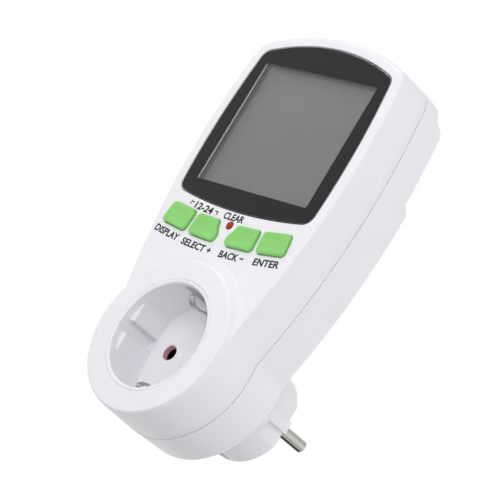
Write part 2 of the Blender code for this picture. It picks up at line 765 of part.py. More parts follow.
# Buttons
def button(name, centre, width, material):
    """A key cap with a flange behind the face and a stem towards the board."""
    cap_back = GLASS_FRONT + BUTTON_FLANGE_THICKNESS / 2
    flange_back = GLASS_FRONT + BUTTON_FLANGE_THICKNESS
    stem_back = pill_front() - CLEARANCE
    cap = rounded_plate(
        button_outline(centre, width), FACE - BUTTON_PROUD, cap_back, round_front=BUTTON_EDGE, segments=2
    )
    flange = plate([button_outline(centre, width, BUTTON_FLANGE)], GLASS_FRONT, flange_back)
    x, z = bent([(centre, 0.0)])[0]
    stem = block(x, z, STEM_WIDTH, STEM_HEIGHT, cap_back, stem_back)
    cap = cut(cap, rod(0.0, RESET_Z, BITE_RADIUS, -OVERCUT, PARTING_DEPTH))
    flange = cut(flange, rod(0.0, RESET_Z, BITE_RADIUS - BUTTON_FLANGE, -OVERCUT, PARTING_DEPTH))
    origin = (x, FACE - BUTTON_PROUD - PLUG_REACH, z)
    return finish(fuse(cap, flange, stem), name, material, origin)


def pill_front():
    """A pill at rest stands one travel and one clearance off the board."""
    return BOARD_FRONT - CLEARANCE - BUTTON_TRAVEL - PILL_THICKNESS


def keypad(green, grey, black, red):
    """Four keys with their pills, the mat on the board, the reset key and its switch."""
    mat_front = BOARD_FRONT - CLEARANCE - MAT_THICKNESS
    mat_back = BOARD_FRONT - CLEARANCE
    outer = INNER_START + INNER_WIDTH + BUTTON_SPACE + OUTER_WIDTH + MAT_MARGIN
    mat_height = BUTTON_HEIGHT + 2 * MAT_MARGIN
    row = bent(round_rectangle(0.0, 0.0, 2 * outer, mat_height, BUTTON_CORNER))
    holes = []
    for name, centre, width in button_spans():
        button(name, centre, width, green)
        x, z = bent([(centre, 0.0)])[0]
        pill = rod(x, z, PILL_RADIUS, pill_front(), pill_front() + PILL_THICKNESS, SMALL_SIDES)
        finish(pill, name.replace("button", "pill"), black)
        holes.append(rod(x, z, PILL_RADIUS + CLEARANCE, mat_front - OVERCUT, BOARD_FRONT, SMALL_SIDES))
    window = SWITCH_SIDE + 2 * CLEARANCE
    holes.append(block(0.0, RESET_Z, window, window, mat_front - OVERCUT, BOARD_FRONT))
    finish(cut(plate([row], mat_front, mat_back), *holes), "keypad_mat", grey)
    reset_key(red)
    switch = block(0.0, RESET_Z, SWITCH_SIDE, SWITCH_SIDE, mat_back - SWITCH_HEIGHT, mat_back)
    finish(switch, "reset_switch", black)


def reset_key(red):
    """A small round plunger, kept behind the face by its flange."""
    front = FACE - RESET_PROUD
    tip = BOARD_FRONT - CLEARANCE - SWITCH_HEIGHT - CLEARANCE - RESET_TRAVEL
    flange_back = GLASS_FRONT + BUTTON_FLANGE_THICKNESS
    wide = RESET_RADIUS + RESET_FLANGE
    dome = RESET_RADIUS / 4
    profile = [
        (0.0, front),
        (RESET_RADIUS - dome, front),
        (RESET_RADIUS, front + dome),
        (RESET_RADIUS, GLASS_FRONT),
        (wide, GLASS_FRONT),
        (wide, flange_back),
        (RESET_RADIUS, flange_back),
        (RESET_RADIUS, tip),
        (0.0, tip),
    ]
    key = turned(0.0, RESET_Z, profile, ROUND_SIDES)
    finish(key, "reset_button", red, (0.0, front - PLUG_REACH, RESET_Z))


# Socket
def socket_insert(material):
    """The well: tube and flange, guide flats with a slot between, earth slots and pin holes."""
    mouth = arc((WELL_RADIUS + MOUTH_ROUND, MOUTH_ROUND), MOUTH_ROUND, -math.pi / 2, -math.pi)
    flange_radius = INSERT_RADIUS + INSERT_FLANGE
    flange_back = GLASS_FRONT + INSERT_FLANGE_THICKNESS
    profile = [(0.0, WELL_DEPTH), (WELL_RADIUS, WELL_DEPTH)] + mouth[::-1] + [
        (INSERT_RADIUS, 0.0),
        (INSERT_RADIUS, GLASS_FRONT),
        (flange_radius, GLASS_FRONT),
        (flange_radius, flange_back),
        (INSERT_RADIUS, flange_back),
        (INSERT_RADIUS, INSERT_BACK),
        (0.0, INSERT_BACK),
    ]
    insert = turned(0.0, 0.0, profile, FINE_SIDES)
    pad_width = WELL_RADIUS - GUIDE_FLAT + INSERT_WALL / 2
    pad_x = GUIDE_FLAT + pad_width / 2
    slot_x = pad_x - INSERT_WALL / 2
    for side in (-1, 1):
        wall_radius = WELL_RADIUS + INSERT_WALL / 2
        wall = rod(0.0, 0.0, wall_radius, GUIDE_START, INSERT_BACK - WELL_FLOOR / 2, FINE_SIDES)
        pad = block(side * pad_x, 0.0, pad_width, 2 * WELL_RADIUS, GUIDE_START, INSERT_BACK)
        slot = block(side * slot_x, 0.0, pad_width, GUIDE_SLOT, 0.0, WELL_DEPTH)
        insert = fuse(insert, cut(shared(pad, wall), slot))
    earth_height = WELL_RADIUS + INSERT_WALL - CLIP_REACH + STRIP + 2 * CLEARANCE + OVERCUT
    earth_z = CLIP_REACH - STRIP - 2 * CLEARANCE + earth_height / 2
    for side in (-1, 1):
        slot_back = INSERT_BACK + OVERCUT
        clip_slot = block(0.0, side * earth_z, EARTH_SLOT_WIDTH, earth_height, EARTH_SLOT_START, slot_back)
        pin_hole = rod(side * PIN_X, 0.0, PIN_HOLE_RADIUS, WELL_DEPTH - OVERCUT, INSERT_BACK + OVERCUT)
        insert = cut(insert, clip_slot, pin_hole)
    return finish(insert, "socket_insert", material)


def earth_bracket(material):
    """One bent strip: a bridge behind the well's floor and two sprung clips inside the well."""
    bridge = INSERT_BACK + CLEARANCE + STRIP / 2
    arm = [
        (bridge, CLIP_REACH + STRIP),
        (bridge - STRIP, CLIP_REACH + 2 * STRIP),
        (WELL_DEPTH - STRIP, CLIP_REACH + 2 * STRIP),
        (CLIP_BEND_DEPTH, CLIP_REACH),
        (CLIP_TIP_DEPTH, CLIP_REACH + CLIP_FLARE),
    ]
    path = [(depth, -z) for depth, z in reversed(arm)] + arm
    finish(strip(path, 0.0, CLIP_WIDTH), "earth_bracket", material)


def socket_contacts(brass):
    """Two split sleeves behind the pin holes."""
    outside = CONTACT_BORE + CONTACT_WALL
    for name, side in (("socket_contact_left", -1), ("socket_contact_right", 1)):
        sleeve = rod(side * PIN_X, 0.0, outside, CONTACT_FRONT, CONTACT_BACK)
        front = CONTACT_FRONT - OVERCUT
        back = CONTACT_BACK + OVERCUT
        bore = rod(side * PIN_X, 0.0, CONTACT_BORE, front, back)
        slit = block(side * PIN_X, outside, CONTACT_SLIT, 2 * outside, front, back)
        finish(cut(sleeve, bore, slit), name, brass)


def current_bars(brass, copper):
    """Bars from the plug pins and the load contact up to the power board, and the shunt there."""
    foot = -BAR_WIDTH / 2
    depth = (BAR_FRONT + BAR_BACK) / 2
    tab = power_board_bottom() + BAR_WIDTH / 2
    tip = POWER_BACK + CLEARANCE
    for name, side in (("neutral_bar", -1), ("line_bar", 1)):
        path = [(depth, foot), (depth, tab), (tip, tab)]
        finish(strip(path, side * PIN_X, BAR_WIDTH, BAR), name, brass)
    contact_edge = PIN_X + CONTACT_BORE + CONTACT_WALL
    load_x = contact_edge + CLEARANCE + BAR / 2
    top = tab + BAR_WIDTH
    load = block(load_x, (foot + top) / 2, BAR, top - foot, tip, BAR_FRONT - CLEARANCE)
    finish(load, "load_bar", brass)
    width, height, thickness = SHUNT_SIZE
    shunt_x = load_x + BAR / 2 + CLEARANCE + width / 2
    finish(block(shunt_x, top - height, width, height, tip, tip + thickness, BAR / 4), "shunt", copper)


# Plug
def plug_body(material):
    """Round plug with side flats, a rib on each flat, bores for the pins and channels for the earth."""
    flange = PLUG_RADIUS + PLUG_FLANGE
    profile = [
        (0.0, PLUG_FLANGE_FRONT),
        (flange, PLUG_FLANGE_FRONT),
        (flange, PLUG_FLANGE_BACK),
        (PLUG_RADIUS, PLUG_FLANGE_BACK),
        (PLUG_RADIUS, PLUG_REACH - PLUG_CHAMFER),
        (PLUG_RADIUS - PLUG_CHAMFER, PLUG_REACH),
        (0.0, PLUG_REACH),
    ]
    body = turned(0.0, 0.0, profile, FINE_SIDES)
    flat_start = PLUG_REACH - PLUG_FLAT_LENGTH
    flat_end = PLUG_REACH + OVERCUT
    flat_width = PLUG_RADIUS - PLUG_FLAT + OVERCUT
    pad_height = PLUG_RADIUS - PLUG_RIB / 2
    for side in (-1, 1):
        flat_x = side * (PLUG_FLAT + flat_width / 2)
        for half in (-1, 1):
            flat_z = half * (PLUG_RIB / 2 + pad_height / 2)
            body = cut(body, block(flat_x, flat_z, flat_width, pad_height, flat_start, flat_end))
        channel_floor = PLUG_CLIP_HEIGHT - STRIP / 2 - CLEARANCE
        channel_height = flange - channel_floor + OVERCUT
        channel_z = side * (channel_floor + channel_height / 2)
        channel_end = PLUG_REACH - PLUG_CHAMFER
        channel_width = CLIP_WIDTH + 2 * CLEARANCE
        start = PLUG_FLANGE_FRONT - OVERCUT
        channel = block(0.0, channel_z, channel_width, channel_height, start, channel_end)
        bore = rod(side * PIN_X, 0.0, PIN_RADIUS + CLEARANCE, start, flat_end)
        body = cut(body, channel, bore)
    return finish(body, "plug_body", material)


def plug_pins(nickel):
    """Two round pins with domed tips, running back through the plug to the bars."""
    tip = PLUG_REACH + PIN_LENGTH
    dome = arc((0.0, 0.0), PIN_RADIUS, math.pi / 2, 0.0)
    profile = [(0.0, PLUG_FLANGE_FRONT), (PIN_RADIUS, PLUG_FLANGE_FRONT)]
    profile += [(x, tip - PIN_RADIUS / 2 + z / 2) for x, z in reversed(dome)]
    profile[-1] = (0.0, tip)
    for name, side in (("plug_pin_left", -1), ("plug_pin_right", 1)):
        finish(turned(side * PIN_X, 0.0, profile, ROUND_SIDES), name, nickel)


def plug_earth(nickel, brass):
    """A bent strip round the plug with a contact along its top and bottom, and the post to the socket."""
    bridge = BAR_BACK - STRIP / 2
    middle = PLUG_REACH - PLUG_LENGTH / 3
    arm = [
        (bridge, PLUG_CLIP_HEIGHT),
        (middle - PLUG_LENGTH / 4, PLUG_CLIP_HEIGHT),
        (middle, PLUG_CLIP_HEIGHT + PLUG_CLIP_BULGE),
        (PLUG_REACH - 2 * PLUG_CHAMFER, PLUG_CLIP_HEIGHT),
    ]
    path = [(depth, -z) for depth, z in reversed(arm)] + arm
    finish(strip(path, 0.0, CLIP_WIDTH), "plug_earth_bracket", nickel)
    front = INSERT_BACK + 2 * CLEARANCE + STRIP
    back = bridge - STRIP / 2 - CLEARANCE
    finish(rod(0.0, 0.0, POST_RADIUS, front, back, SMALL_SIDES), "earth_post", brass)


# Boards
def control_board(green, black, steel, dark):
    """The board behind the display with what is soldered to its back."""
    top = WINDOW_Z + glass_size()[1] / 2 + RUBBER_WIDTH / 2
    bottom = ROW_Z - BUTTON_HEIGHT / 2 - 2 * MAT_MARGIN
    board = plate([board_outline(top, bottom)], BOARD_FRONT, BOARD_BACK)
    for x, z in board_screw_places():
        hole_radius = BOARD_SCREW + CLEARANCE
        hole = rod(x, z, hole_radius, BOARD_FRONT - OVERCUT, BOARD_BACK + OVERCUT, SMALL_SIDES)
        board = cut(board, hole)
    finish(board, "control_board", green)
    seat = BOARD_BACK + CLEARANCE
    blob_x = -WINDOW_WIDTH / 4
    shoulder = (BLOB_RADIUS / 2, seat + BLOB_HEIGHT * 0.8)
    dome = [(0.0, seat), (BLOB_RADIUS, seat), shoulder, (0.0, seat + BLOB_HEIGHT)]
    finish(turned(blob_x, WINDOW_Z, dome, ROUND_SIDES), "controller_blob", dark)
    crystal_z = WINDOW_Z - 2 * BLOB_RADIUS
    depth = seat + CRYSTAL_RADIUS
    start = (blob_x - CRYSTAL_LENGTH / 2, depth, crystal_z)
    end = (blob_x + CRYSTAL_LENGTH / 2, depth, crystal_z)
    finish(lying_rod(start, end, CRYSTAL_RADIUS, SMALL_SIDES), "crystal", steel)
    cell_x = WINDOW_WIDTH / 4
    rim = CELL_RADIUS + CLEARANCE + HOLDER_WALL
    floor = seat + HOLDER_FLOOR
    holder = rod(cell_x, WINDOW_Z, rim, seat, floor + CELL_THICKNESS / 2)
    pocket = rod(cell_x, WINDOW_Z, CELL_RADIUS + CLEARANCE, floor, floor + CELL_THICKNESS)
    finish(cut(holder, pocket), "cell_holder", black)
    cell_front = floor + CLEARANCE
    cell = rod(cell_x, WINDOW_Z, CELL_RADIUS, cell_front, cell_front + CELL_THICKNESS)
    finish(cell, "backup_cell", steel)


def power_board(green, parts):
    """The mains board in the back with its components, all on the side away from the display."""
    bottom = power_board_bottom()
    middle = power_board_z()
    outline = round_rectangle(0.0, middle, POWER_BOARD_WIDTH, POWER_BOARD_HEIGHT, BOARD_CORNER)
    board = plate([outline], POWER_FRONT, POWER_BACK)
    for x, z in power_screw_places():
        hole_radius = BOARD_SCREW + CLEARANCE
        hole = rod(x, z, hole_radius, POWER_FRONT - OVERCUT, POWER_BACK + OVERCUT, SMALL_SIDES)
        board = cut(board, hole)
    finish(board, "power_board", green)
    seat = POWER_BACK + CLEARANCE
    top = bottom + POWER_BOARD_HEIGHT
    header_x = -HEADER_SIZE[0] / 4
    header_z = top - HEADER_SIZE[1]
    header = block(header_x, header_z, *HEADER_SIZE, BOARD_BACK + CLEARANCE, POWER_FRONT - CLEARANCE)
    finish(header, "board_header", parts["black"])
    width, height, thickness = CAPACITOR_SIZE
    left = -POWER_BOARD_WIDTH / 4
    capacitor_z = top - height
    capacitor = block(left, capacitor_z, width, height, seat, seat + thickness, BAR / 2)
    finish(capacitor, "safety_capacitor", parts["yellow"])
    right = POWER_BOARD_WIDTH / 8
    depth = seat + FILTER_RADIUS
    low = (right, depth, top - FILTER_LENGTH - FILTER_RADIUS)
    high = (right, depth, top - FILTER_RADIUS)
    finish(lying_rod(low, high, FILTER_RADIUS), "filter_capacitor", parts["dark"])
    varistor_z = capacitor_z - height / 2 - 2 * VARISTOR_RADIUS
    far = POWER_BOARD_WIDTH / 4
    varistor = rod(far, varistor_z, VARISTOR_RADIUS, seat, seat + VARISTOR_THICKNESS)
    finish(varistor, "varistor", parts["blue"])
    depth = seat + FUSE_RADIUS
    start = (left - FUSE_LENGTH / 2, depth, varistor_z)
    end = (left + FUSE_LENGTH / 2, depth, varistor_z)
    finish(lying_rod(start, end, FUSE_RADIUS), "fuse", parts["ceramic"])
    chip_z = varistor_z - VARISTOR_RADIUS - 2 * CHIP_SIZE[1]
    chip = block(0.0, chip_z, *CHIP_SIZE[:2], seat, seat + CHIP_SIZE[2])
    finish(chip, "metering_chip", parts["black"])


# Screws
def screws(steel):
    """Case screws from the back, board screws for both boards."""
    for number, (x, z) in enumerate(case_screw_places(), 1):
        head_front = CASE_SCREW_SEAT + CLEARANCE
        finish(
            screw(x, z, CASE_HEAD, CASE_HEAD_HEIGHT, CASE_SCREW, CASE_SCREW_LENGTH, head_front, 1),
            f"case_screw_{number}",
            steel,
        )
    for number, (x, z) in enumerate(board_screw_places(), 1):
        head_front = BOARD_BACK + CLEARANCE
        finish(
            screw(x, z, BOARD_HEAD, BOARD_HEAD_HEIGHT, BOARD_SCREW, BOARD_SCREW_LENGTH, head_front, 1),
            f"board_screw_{number}",
            steel,
        )
    for number, (x, z) in enumerate(power_screw_places(), 1):
        head_back = POWER_FRONT - CLEARANCE
        finish(
            screw(x, z, BOARD_HEAD, BOARD_HEAD_HEIGHT, BOARD_SCREW, BOARD_SCREW_LENGTH, head_back, -1),
            f"power_screw_{number}",
            steel,
        )


def screw(x, z, head, head_height, shank, length, seat, facing):
    """A pan-head screw whose head rests at a depth; facing 1 drives it forwards, -1 backwards."""
    profile = [
        (0.0, seat - facing * length),
        (shank, seat - facing * length),
        (shank, seat),
        (head, seat),
        (head, seat + facing * head_height / 2),
        (head * 0.7, seat + facing * head_height),
        (0.0, seat + facing * head_height),
    ]
    return turned(x, z, profile, SMALL_SIDES)


def build():
    """Make every piece of the meter."""
    white = finish_of("white_shell", (0.86, 0.86, 0.88), 0.35)
    green = finish_of("green_key", (0.27, 0.68, 0.19), 0.45)
    red = finish_of("red_key", (0.43, 0.05, 0.03), 0.4)
    clear = finish_of("lens_acrylic", (0.03, 0.03, 0.03), 0.08)
    glass = finish_of("display_glass", (0.22, 0.22, 0.21), 0.2)
    rubber = finish_of("grey_rubber", (0.25, 0.25, 0.26), 0.6)
    black = finish_of("black_plastic", (0.02, 0.02, 0.02), 0.5)
    dark = finish_of("black_epoxy", (0.015, 0.015, 0.015), 0.35)
    board = finish_of("board_laminate", (0.03, 0.22, 0.09), 0.45)
    nickel = finish_of("nickel_plate", (0.60, 0.59, 0.56), 0.25, 1.0)
    brass = finish_of("brass", (0.72, 0.53, 0.22), 0.3, 1.0)
    steel = finish_of("zinc_steel", (0.55, 0.55, 0.56), 0.35, 1.0)
    copper = finish_of("shunt_alloy", (0.62, 0.40, 0.28), 0.35, 1.0)
    component = {
        "black": black,
        "dark": dark,
        "yellow": finish_of("yellow_case", (0.75, 0.55, 0.06), 0.45),
        "blue": finish_of("blue_epoxy", (0.05, 0.14, 0.45), 0.4),
        "ceramic": finish_of("pale_ceramic", (0.70, 0.66, 0.56), 0.6),
    }
    front_shell(white)
    rear_shell(white)
    display(clear, glass, white, rubber)
    keypad(green, rubber, black, red)
    socket_insert(white)
    earth_bracket(nickel)
    socket_contacts(brass)
    current_bars(brass, copper)
    plug_body(white)
    plug_pins(nickel)
    plug_earth(nickel, brass)
    control_board(board, black, steel, dark)
    power_board(board, component)
    screws(steel)


clear_scene()
bpy.context.scene.collection.children.link(PARTS)
bpy.context.scene.collection.children.link(WORKSHOP)
METER = bpy.data.objects.new("power_meter_origin", None)
PARTS.objects.link(METER)
build()
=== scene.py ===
# %% [markdown]
# A plug-in power meter. It plugs into a wall socket, passes the mains on to the socket in its own face,
# and shows on a small display what the appliance draws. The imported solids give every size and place, and
# this lesson dresses them: each visible piece is made again with the fine edges and finishes of the real
# one, and rides on the body that the solid belongs to.

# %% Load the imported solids
import math

import bmesh
import bpy
import numpy as np
from mathutils import Matrix, Vector
from mathutils.geometry import delaunay_2d_cdt


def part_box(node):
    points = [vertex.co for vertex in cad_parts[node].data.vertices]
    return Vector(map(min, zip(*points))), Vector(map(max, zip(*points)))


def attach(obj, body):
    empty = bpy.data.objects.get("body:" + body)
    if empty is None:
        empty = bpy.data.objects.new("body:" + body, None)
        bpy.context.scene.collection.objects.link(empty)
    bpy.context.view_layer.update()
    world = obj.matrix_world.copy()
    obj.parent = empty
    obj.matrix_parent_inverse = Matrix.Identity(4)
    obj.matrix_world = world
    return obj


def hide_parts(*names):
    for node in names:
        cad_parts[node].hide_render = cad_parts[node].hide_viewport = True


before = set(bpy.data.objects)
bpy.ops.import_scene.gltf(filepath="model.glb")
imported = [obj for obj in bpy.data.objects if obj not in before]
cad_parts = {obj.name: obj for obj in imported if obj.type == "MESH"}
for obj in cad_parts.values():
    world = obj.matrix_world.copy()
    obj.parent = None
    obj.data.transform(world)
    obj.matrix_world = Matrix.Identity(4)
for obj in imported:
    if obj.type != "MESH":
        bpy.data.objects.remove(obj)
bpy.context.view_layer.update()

# %% [markdown]
# The camera comes first, because everything else is judged through it. The photograph was taken from the
# lower right with a long lens, and it is turned in the picture, so the camera has a place, a point that it
# looks at, and a roll about its own axis. A long lens keeps the sides nearly parallel.

# %% Camera
SENSOR = 36.0
CAMERA_LENS = 163.05
CAMERA_PLACE = Vector((0.55148, -0.55374, -0.13088))
CAMERA_AIM = Vector((0.00871, -0.05017, 0.04061))
CAMERA_ROLL = math.radians(30.99)
CAMERA_NEAR = 0.01


def new_object(name, data):
    """An object of this data, linked to the scene."""
    obj = bpy.data.objects.new(name, data)
    bpy.context.scene.collection.objects.link(obj)
    return obj


def aimed(place, roll=0.0):
    """A matrix that stands at a place and looks at the meter, turned about its own axis."""
    level = (CAMERA_AIM - place).to_track_quat("-Z", "Y").to_matrix().to_4x4()
    return Matrix.Translation(place) @ level @ Matrix.Rotation(roll, 4, "Z")


def make_camera():
    data = bpy.data.cameras.new("camera")
    data.sensor_width = SENSOR
    data.lens = CAMERA_LENS
    data.clip_start = CAMERA_NEAR
    camera = new_object("camera", data)
    camera.matrix_world = aimed(CAMERA_PLACE, CAMERA_ROLL)
    bpy.context.scene.camera = camera


make_camera()
print("camera", round((CAMERA_AIM - CAMERA_PLACE).length, 3), "m from the meter")

# %% [markdown]
# A white object on white needs light from several sides, or its edges vanish. The photograph was lit as in
# a tent of white cloth, and the world is that cloth: it gives a soft level all round. For the camera and for
# mirrors it is plain white, so the background stays white and adds no light to the meter. A picture of a
# real tent could stand round it too, but one level is easier to tune.

# %% World
WORLD_LEVEL = 0.514
WHITE = (1.0, 1.0, 1.0, 1.0)


def seen_directly(tree):
    """A socket that is 1 for rays of the camera, of mirrors and of glass."""
    path = tree.nodes.new("ShaderNodeLightPath")
    seen = path.outputs["Is Camera Ray"]
    for kind in ("Is Glossy Ray", "Is Transmission Ray"):
        either = tree.nodes.new("ShaderNodeMath")
        either.operation = "MAXIMUM"
        tree.links.new(seen, either.inputs[0])
        tree.links.new(path.outputs[kind], either.inputs[1])
        seen = either.outputs[0]
    return seen


def white_when_seen(tree, lit, glow_kind, output):
    """Mix a lit shader with plain white for the rays that see it directly."""
    glow = tree.nodes.new(glow_kind)
    glow.inputs["Color"].default_value = WHITE
    mix = tree.nodes.new("ShaderNodeMixShader")
    tree.links.new(seen_directly(tree), mix.inputs["Fac"])
    tree.links.new(lit, mix.inputs[1])
    tree.links.new(glow.outputs[0], mix.inputs[2])
    tree.links.new(mix.outputs["Shader"], tree.nodes[output].inputs["Surface"])


def make_world():
    world = bpy.data.worlds.new("tent")
    world.use_nodes = True
    level = world.node_tree.nodes["Background"]
    level.inputs["Color"].default_value = WHITE
    level.inputs["Strength"].default_value = WORLD_LEVEL
    white_when_seen(world.node_tree, level.outputs["Background"], "ShaderNodeBackground", "World Output")
    bpy.context.scene.world = world


make_world()
bpy.context.scene.view_settings.view_transform = "Standard"
print("the tent gives a level of", WORLD_LEVEL)

# %% [markdown]
# Brighter panels stand before the face, above the camera, over the left shoulder, on the right and behind.
# The panel above the camera draws the bright lines along the rounded edges, the crown panel lights the
# slope of the raised land, and the panel on the right draws the bright stripe of the polished pins. Each is
# a square area lamp, because a soft square leaves soft shadows and can be moved without the others.

# %% Panels
PANEL_DISTANCE = 0.9
PANELS = {
    "panel_behind": ((0.668, 0.40, 0.55), 0.7, 1.22),
    "panel_right": ((0.68, 0.70, -0.09), 0.6, 0.68),
    "panel_above": ((0.62, -0.70, 0.32), 0.5, 2.35),
    "panel_front": ((0.0, -1.0, 0.0), 0.6, 1.7),
    "panel_crown": ((-0.53, -0.46, 0.71), 0.3, 1.45),
    "panel_rear": ((-0.25, 0.93, 0.25), 0.6, 1.6),
}


def make_panel(name, direction, size, power):
    lamp = bpy.data.lights.new(name, "AREA")
    lamp.shape = "SQUARE"
    lamp.size = size
    lamp.energy = power
    panel = new_object(name, lamp)
    panel.matrix_world = aimed(CAMERA_AIM + Vector(direction).normalized() * PANEL_DISTANCE)
    panel.visible_camera = False


for panel_name, panel in PANELS.items():
    make_panel(panel_name, *panel)
print("lit by", len(PANELS), "panels")

# %% [markdown]
# Three flat sheets complete the studio, as a photographer would set them. A pale floor far below sends soft
# light up, and it looks as white as the background, so no horizon shows. A black card behind and below is
# met by shiny surfaces alone and draws the dark stripe along the pins. A dark flag under the round end
# keeps some light from its underside, and nothing mirrors it. Dimming a lamp would have darkened the other
# sides too.

# %% Floor, card and flag
FLOOR_Z = -0.45
FLOOR_SIZE = 30.0
FLOOR_COLOUR = (0.9, 0.9, 0.9, 1.0)
FLOOR_ROUGHNESS = 0.9
CARD_PLACE = Vector((-0.075, 0.244, -0.247))
CARD_SIZE = 0.2
CARD_COLOUR = (0.02, 0.02, 0.02, 1.0)
FLAG_PLACE = Vector((-0.04, -0.10, -0.15))
FLAG_SIZE = 0.12
RAY_KINDS = ("camera", "diffuse", "glossy", "transmission", "shadow")


def stage_sheet(name, size, place, colour):
    """A flat square sheet of the studio in one colour, set in place by a matrix."""
    bm = bmesh.new()
    bmesh.ops.create_grid(bm, x_segments=1, y_segments=1, size=size / 2)
    bmesh.ops.transform(bm, matrix=place, verts=bm.verts)
    mesh = bpy.data.meshes.new(name)
    bm.to_mesh(mesh)
    bm.free()
    material = bpy.data.materials.new(f"{name}_sheet")
    material.use_nodes = True
    material.node_tree.nodes["Principled BSDF"].inputs["Base Color"].default_value = colour
    mesh.materials.append(material)
    sheet = new_object(name, mesh)
    return sheet


def make_floor():
    floor = stage_sheet("floor", FLOOR_SIZE, Matrix.Translation((0.0, 0.0, FLOOR_Z)), FLOOR_COLOUR)
    tree = floor.active_material.node_tree
    shader = tree.nodes["Principled BSDF"]
    shader.inputs["Roughness"].default_value = FLOOR_ROUGHNESS
    white_when_seen(tree, shader.outputs["BSDF"], "ShaderNodeEmission", "Material Output")


def dark_sheet(name, size, place, seen_by):
    """A dark sheet that only some kinds of rays meet."""
    sheet = stage_sheet(name, size, place, CARD_COLOUR)
    for kind in RAY_KINDS:
        setattr(sheet, f"visible_{kind}", kind in seen_by)


make_floor()
card_turn = CARD_PLACE.to_track_quat("Z", "Y").to_matrix().to_4x4()
dark_sheet("card", CARD_SIZE, Matrix.Translation(CARD_PLACE) @ card_turn, ("glossy",))
dark_sheet("flag", FLAG_SIZE, Matrix.Translation(FLAG_PLACE), ("diffuse", "shadow"))
print("the floor lies", -FLOOR_Z, "m below the plug")

# %% [markdown]
# Every finish is a Principled shader with three small disturbances, because no moulded or plated surface is
# even: a slow drift of the colour, a drift of the roughness, and a fine grain in the bump. Their scales are
# given as the size of one patch in metres, which is easier to judge than a texture's own scale number.

# %% Noise for the finishes
NOISE_SPAN = (0.3, 0.7)


def noise_of(tree, patch, detail):
    """A noise texture on Object coordinates whose patches have about this size."""
    coordinates = tree.nodes.new("ShaderNodeTexCoord")
    noise = tree.nodes.new("ShaderNodeTexNoise")
    noise.inputs["Scale"].default_value = 1.0 / patch
    noise.inputs["Detail"].default_value = detail
    tree.links.new(coordinates.outputs["Object"], noise.inputs["Vector"])
    return noise.outputs["Fac"]


def spread(tree, source, low, high):
    """Map a noise, over the span that it mostly fills, onto a range of values."""
    ranged = tree.nodes.new("ShaderNodeMapRange")
    ranged.inputs["From Min"].default_value = NOISE_SPAN[0]
    ranged.inputs["From Max"].default_value = NOISE_SPAN[1]
    ranged.inputs["To Min"].default_value = low
    ranged.inputs["To Max"].default_value = high
    tree.links.new(source, ranged.inputs["Value"])
    return ranged.outputs["Result"]


print("the noise mostly fills", NOISE_SPAN)

# %% [markdown]
# One helper ties the three disturbances to a shader, and every finish is then one call with its colour, its
# roughness and the size of its patches. A painted texture would show its pixels close up, and noise in
# object coordinates needs no unwrapping.

# %% A finish with drift and grain
TINT_DETAIL = 2.0
SHEEN_DETAIL = 3.0
SHEEN_DRIFT = 0.1
GRAIN_DETAIL = 4.0
GRAIN_STRENGTH = 0.4


def finish_of(
    name, colour, roughness, grain=0.0003, relief=0.00001, drift=0.03, patch=0.01, metallic=0.0, gloss=0.5
):
    """A finish with a drifting colour and roughness and a fine grain."""
    material = bpy.data.materials.new(name)
    material.use_nodes = True
    tree = material.node_tree
    shader = tree.nodes["Principled BSDF"]
    shader.inputs["Metallic"].default_value = metallic
    shader.inputs["Specular IOR Level"].default_value = gloss
    tint = tree.nodes.new("ShaderNodeMix")
    tint.data_type = "RGBA"
    tint.inputs["A"].default_value = (*[c * (1 - drift) for c in colour], 1.0)
    tint.inputs["B"].default_value = (*[min(1.0, c * (1 + drift)) for c in colour], 1.0)
    tree.links.new(spread(tree, noise_of(tree, patch, TINT_DETAIL), 0.0, 1.0), tint.inputs["Factor"])
    tree.links.new(tint.outputs["Result"], shader.inputs["Base Color"])
    low, high = roughness * (1 - SHEEN_DRIFT), roughness * (1 + SHEEN_DRIFT)
    sheen = spread(tree, noise_of(tree, patch / 2, SHEEN_DETAIL), low, high)
    tree.links.new(sheen, shader.inputs["Roughness"])
    bump = tree.nodes.new("ShaderNodeBump")
    bump.inputs["Strength"].default_value = GRAIN_STRENGTH
    bump.inputs["Distance"].default_value = relief
    tree.links.new(noise_of(tree, grain, GRAIN_DETAIL), bump.inputs["Height"])
    tree.links.new(bump.outputs["Normal"], shader.inputs["Normal"])
    return material


print("the roughness of a finish drifts by", SHEEN_DRIFT)

# %% [markdown]
# These are the finishes that are seen from outside: white moulded plastic with a faint lilac cast, green
# silicone, the red plunger, the window with its print, the grey film of the display, ink and plated metal.
# Their colours were matched to the photograph under the lamps above, because a colour that is read off a
# picture already holds its light. The window alone lets light through.

# %% Finishes of the outside
ACRYLIC_IOR = 1.49


def clear_acrylic():
    """A clear, faintly smoky window with the slight waves of a moulded sheet."""
    material = finish_of("clear_acrylic", (0.95, 0.95, 0.96), 0.02, grain=0.006, relief=0.000004, drift=0.01)
    shader = material.node_tree.nodes["Principled BSDF"]
    shader.inputs["Transmission Weight"].default_value = 1.0
    shader.inputs["IOR"].default_value = ACRYLIC_IOR
    return material


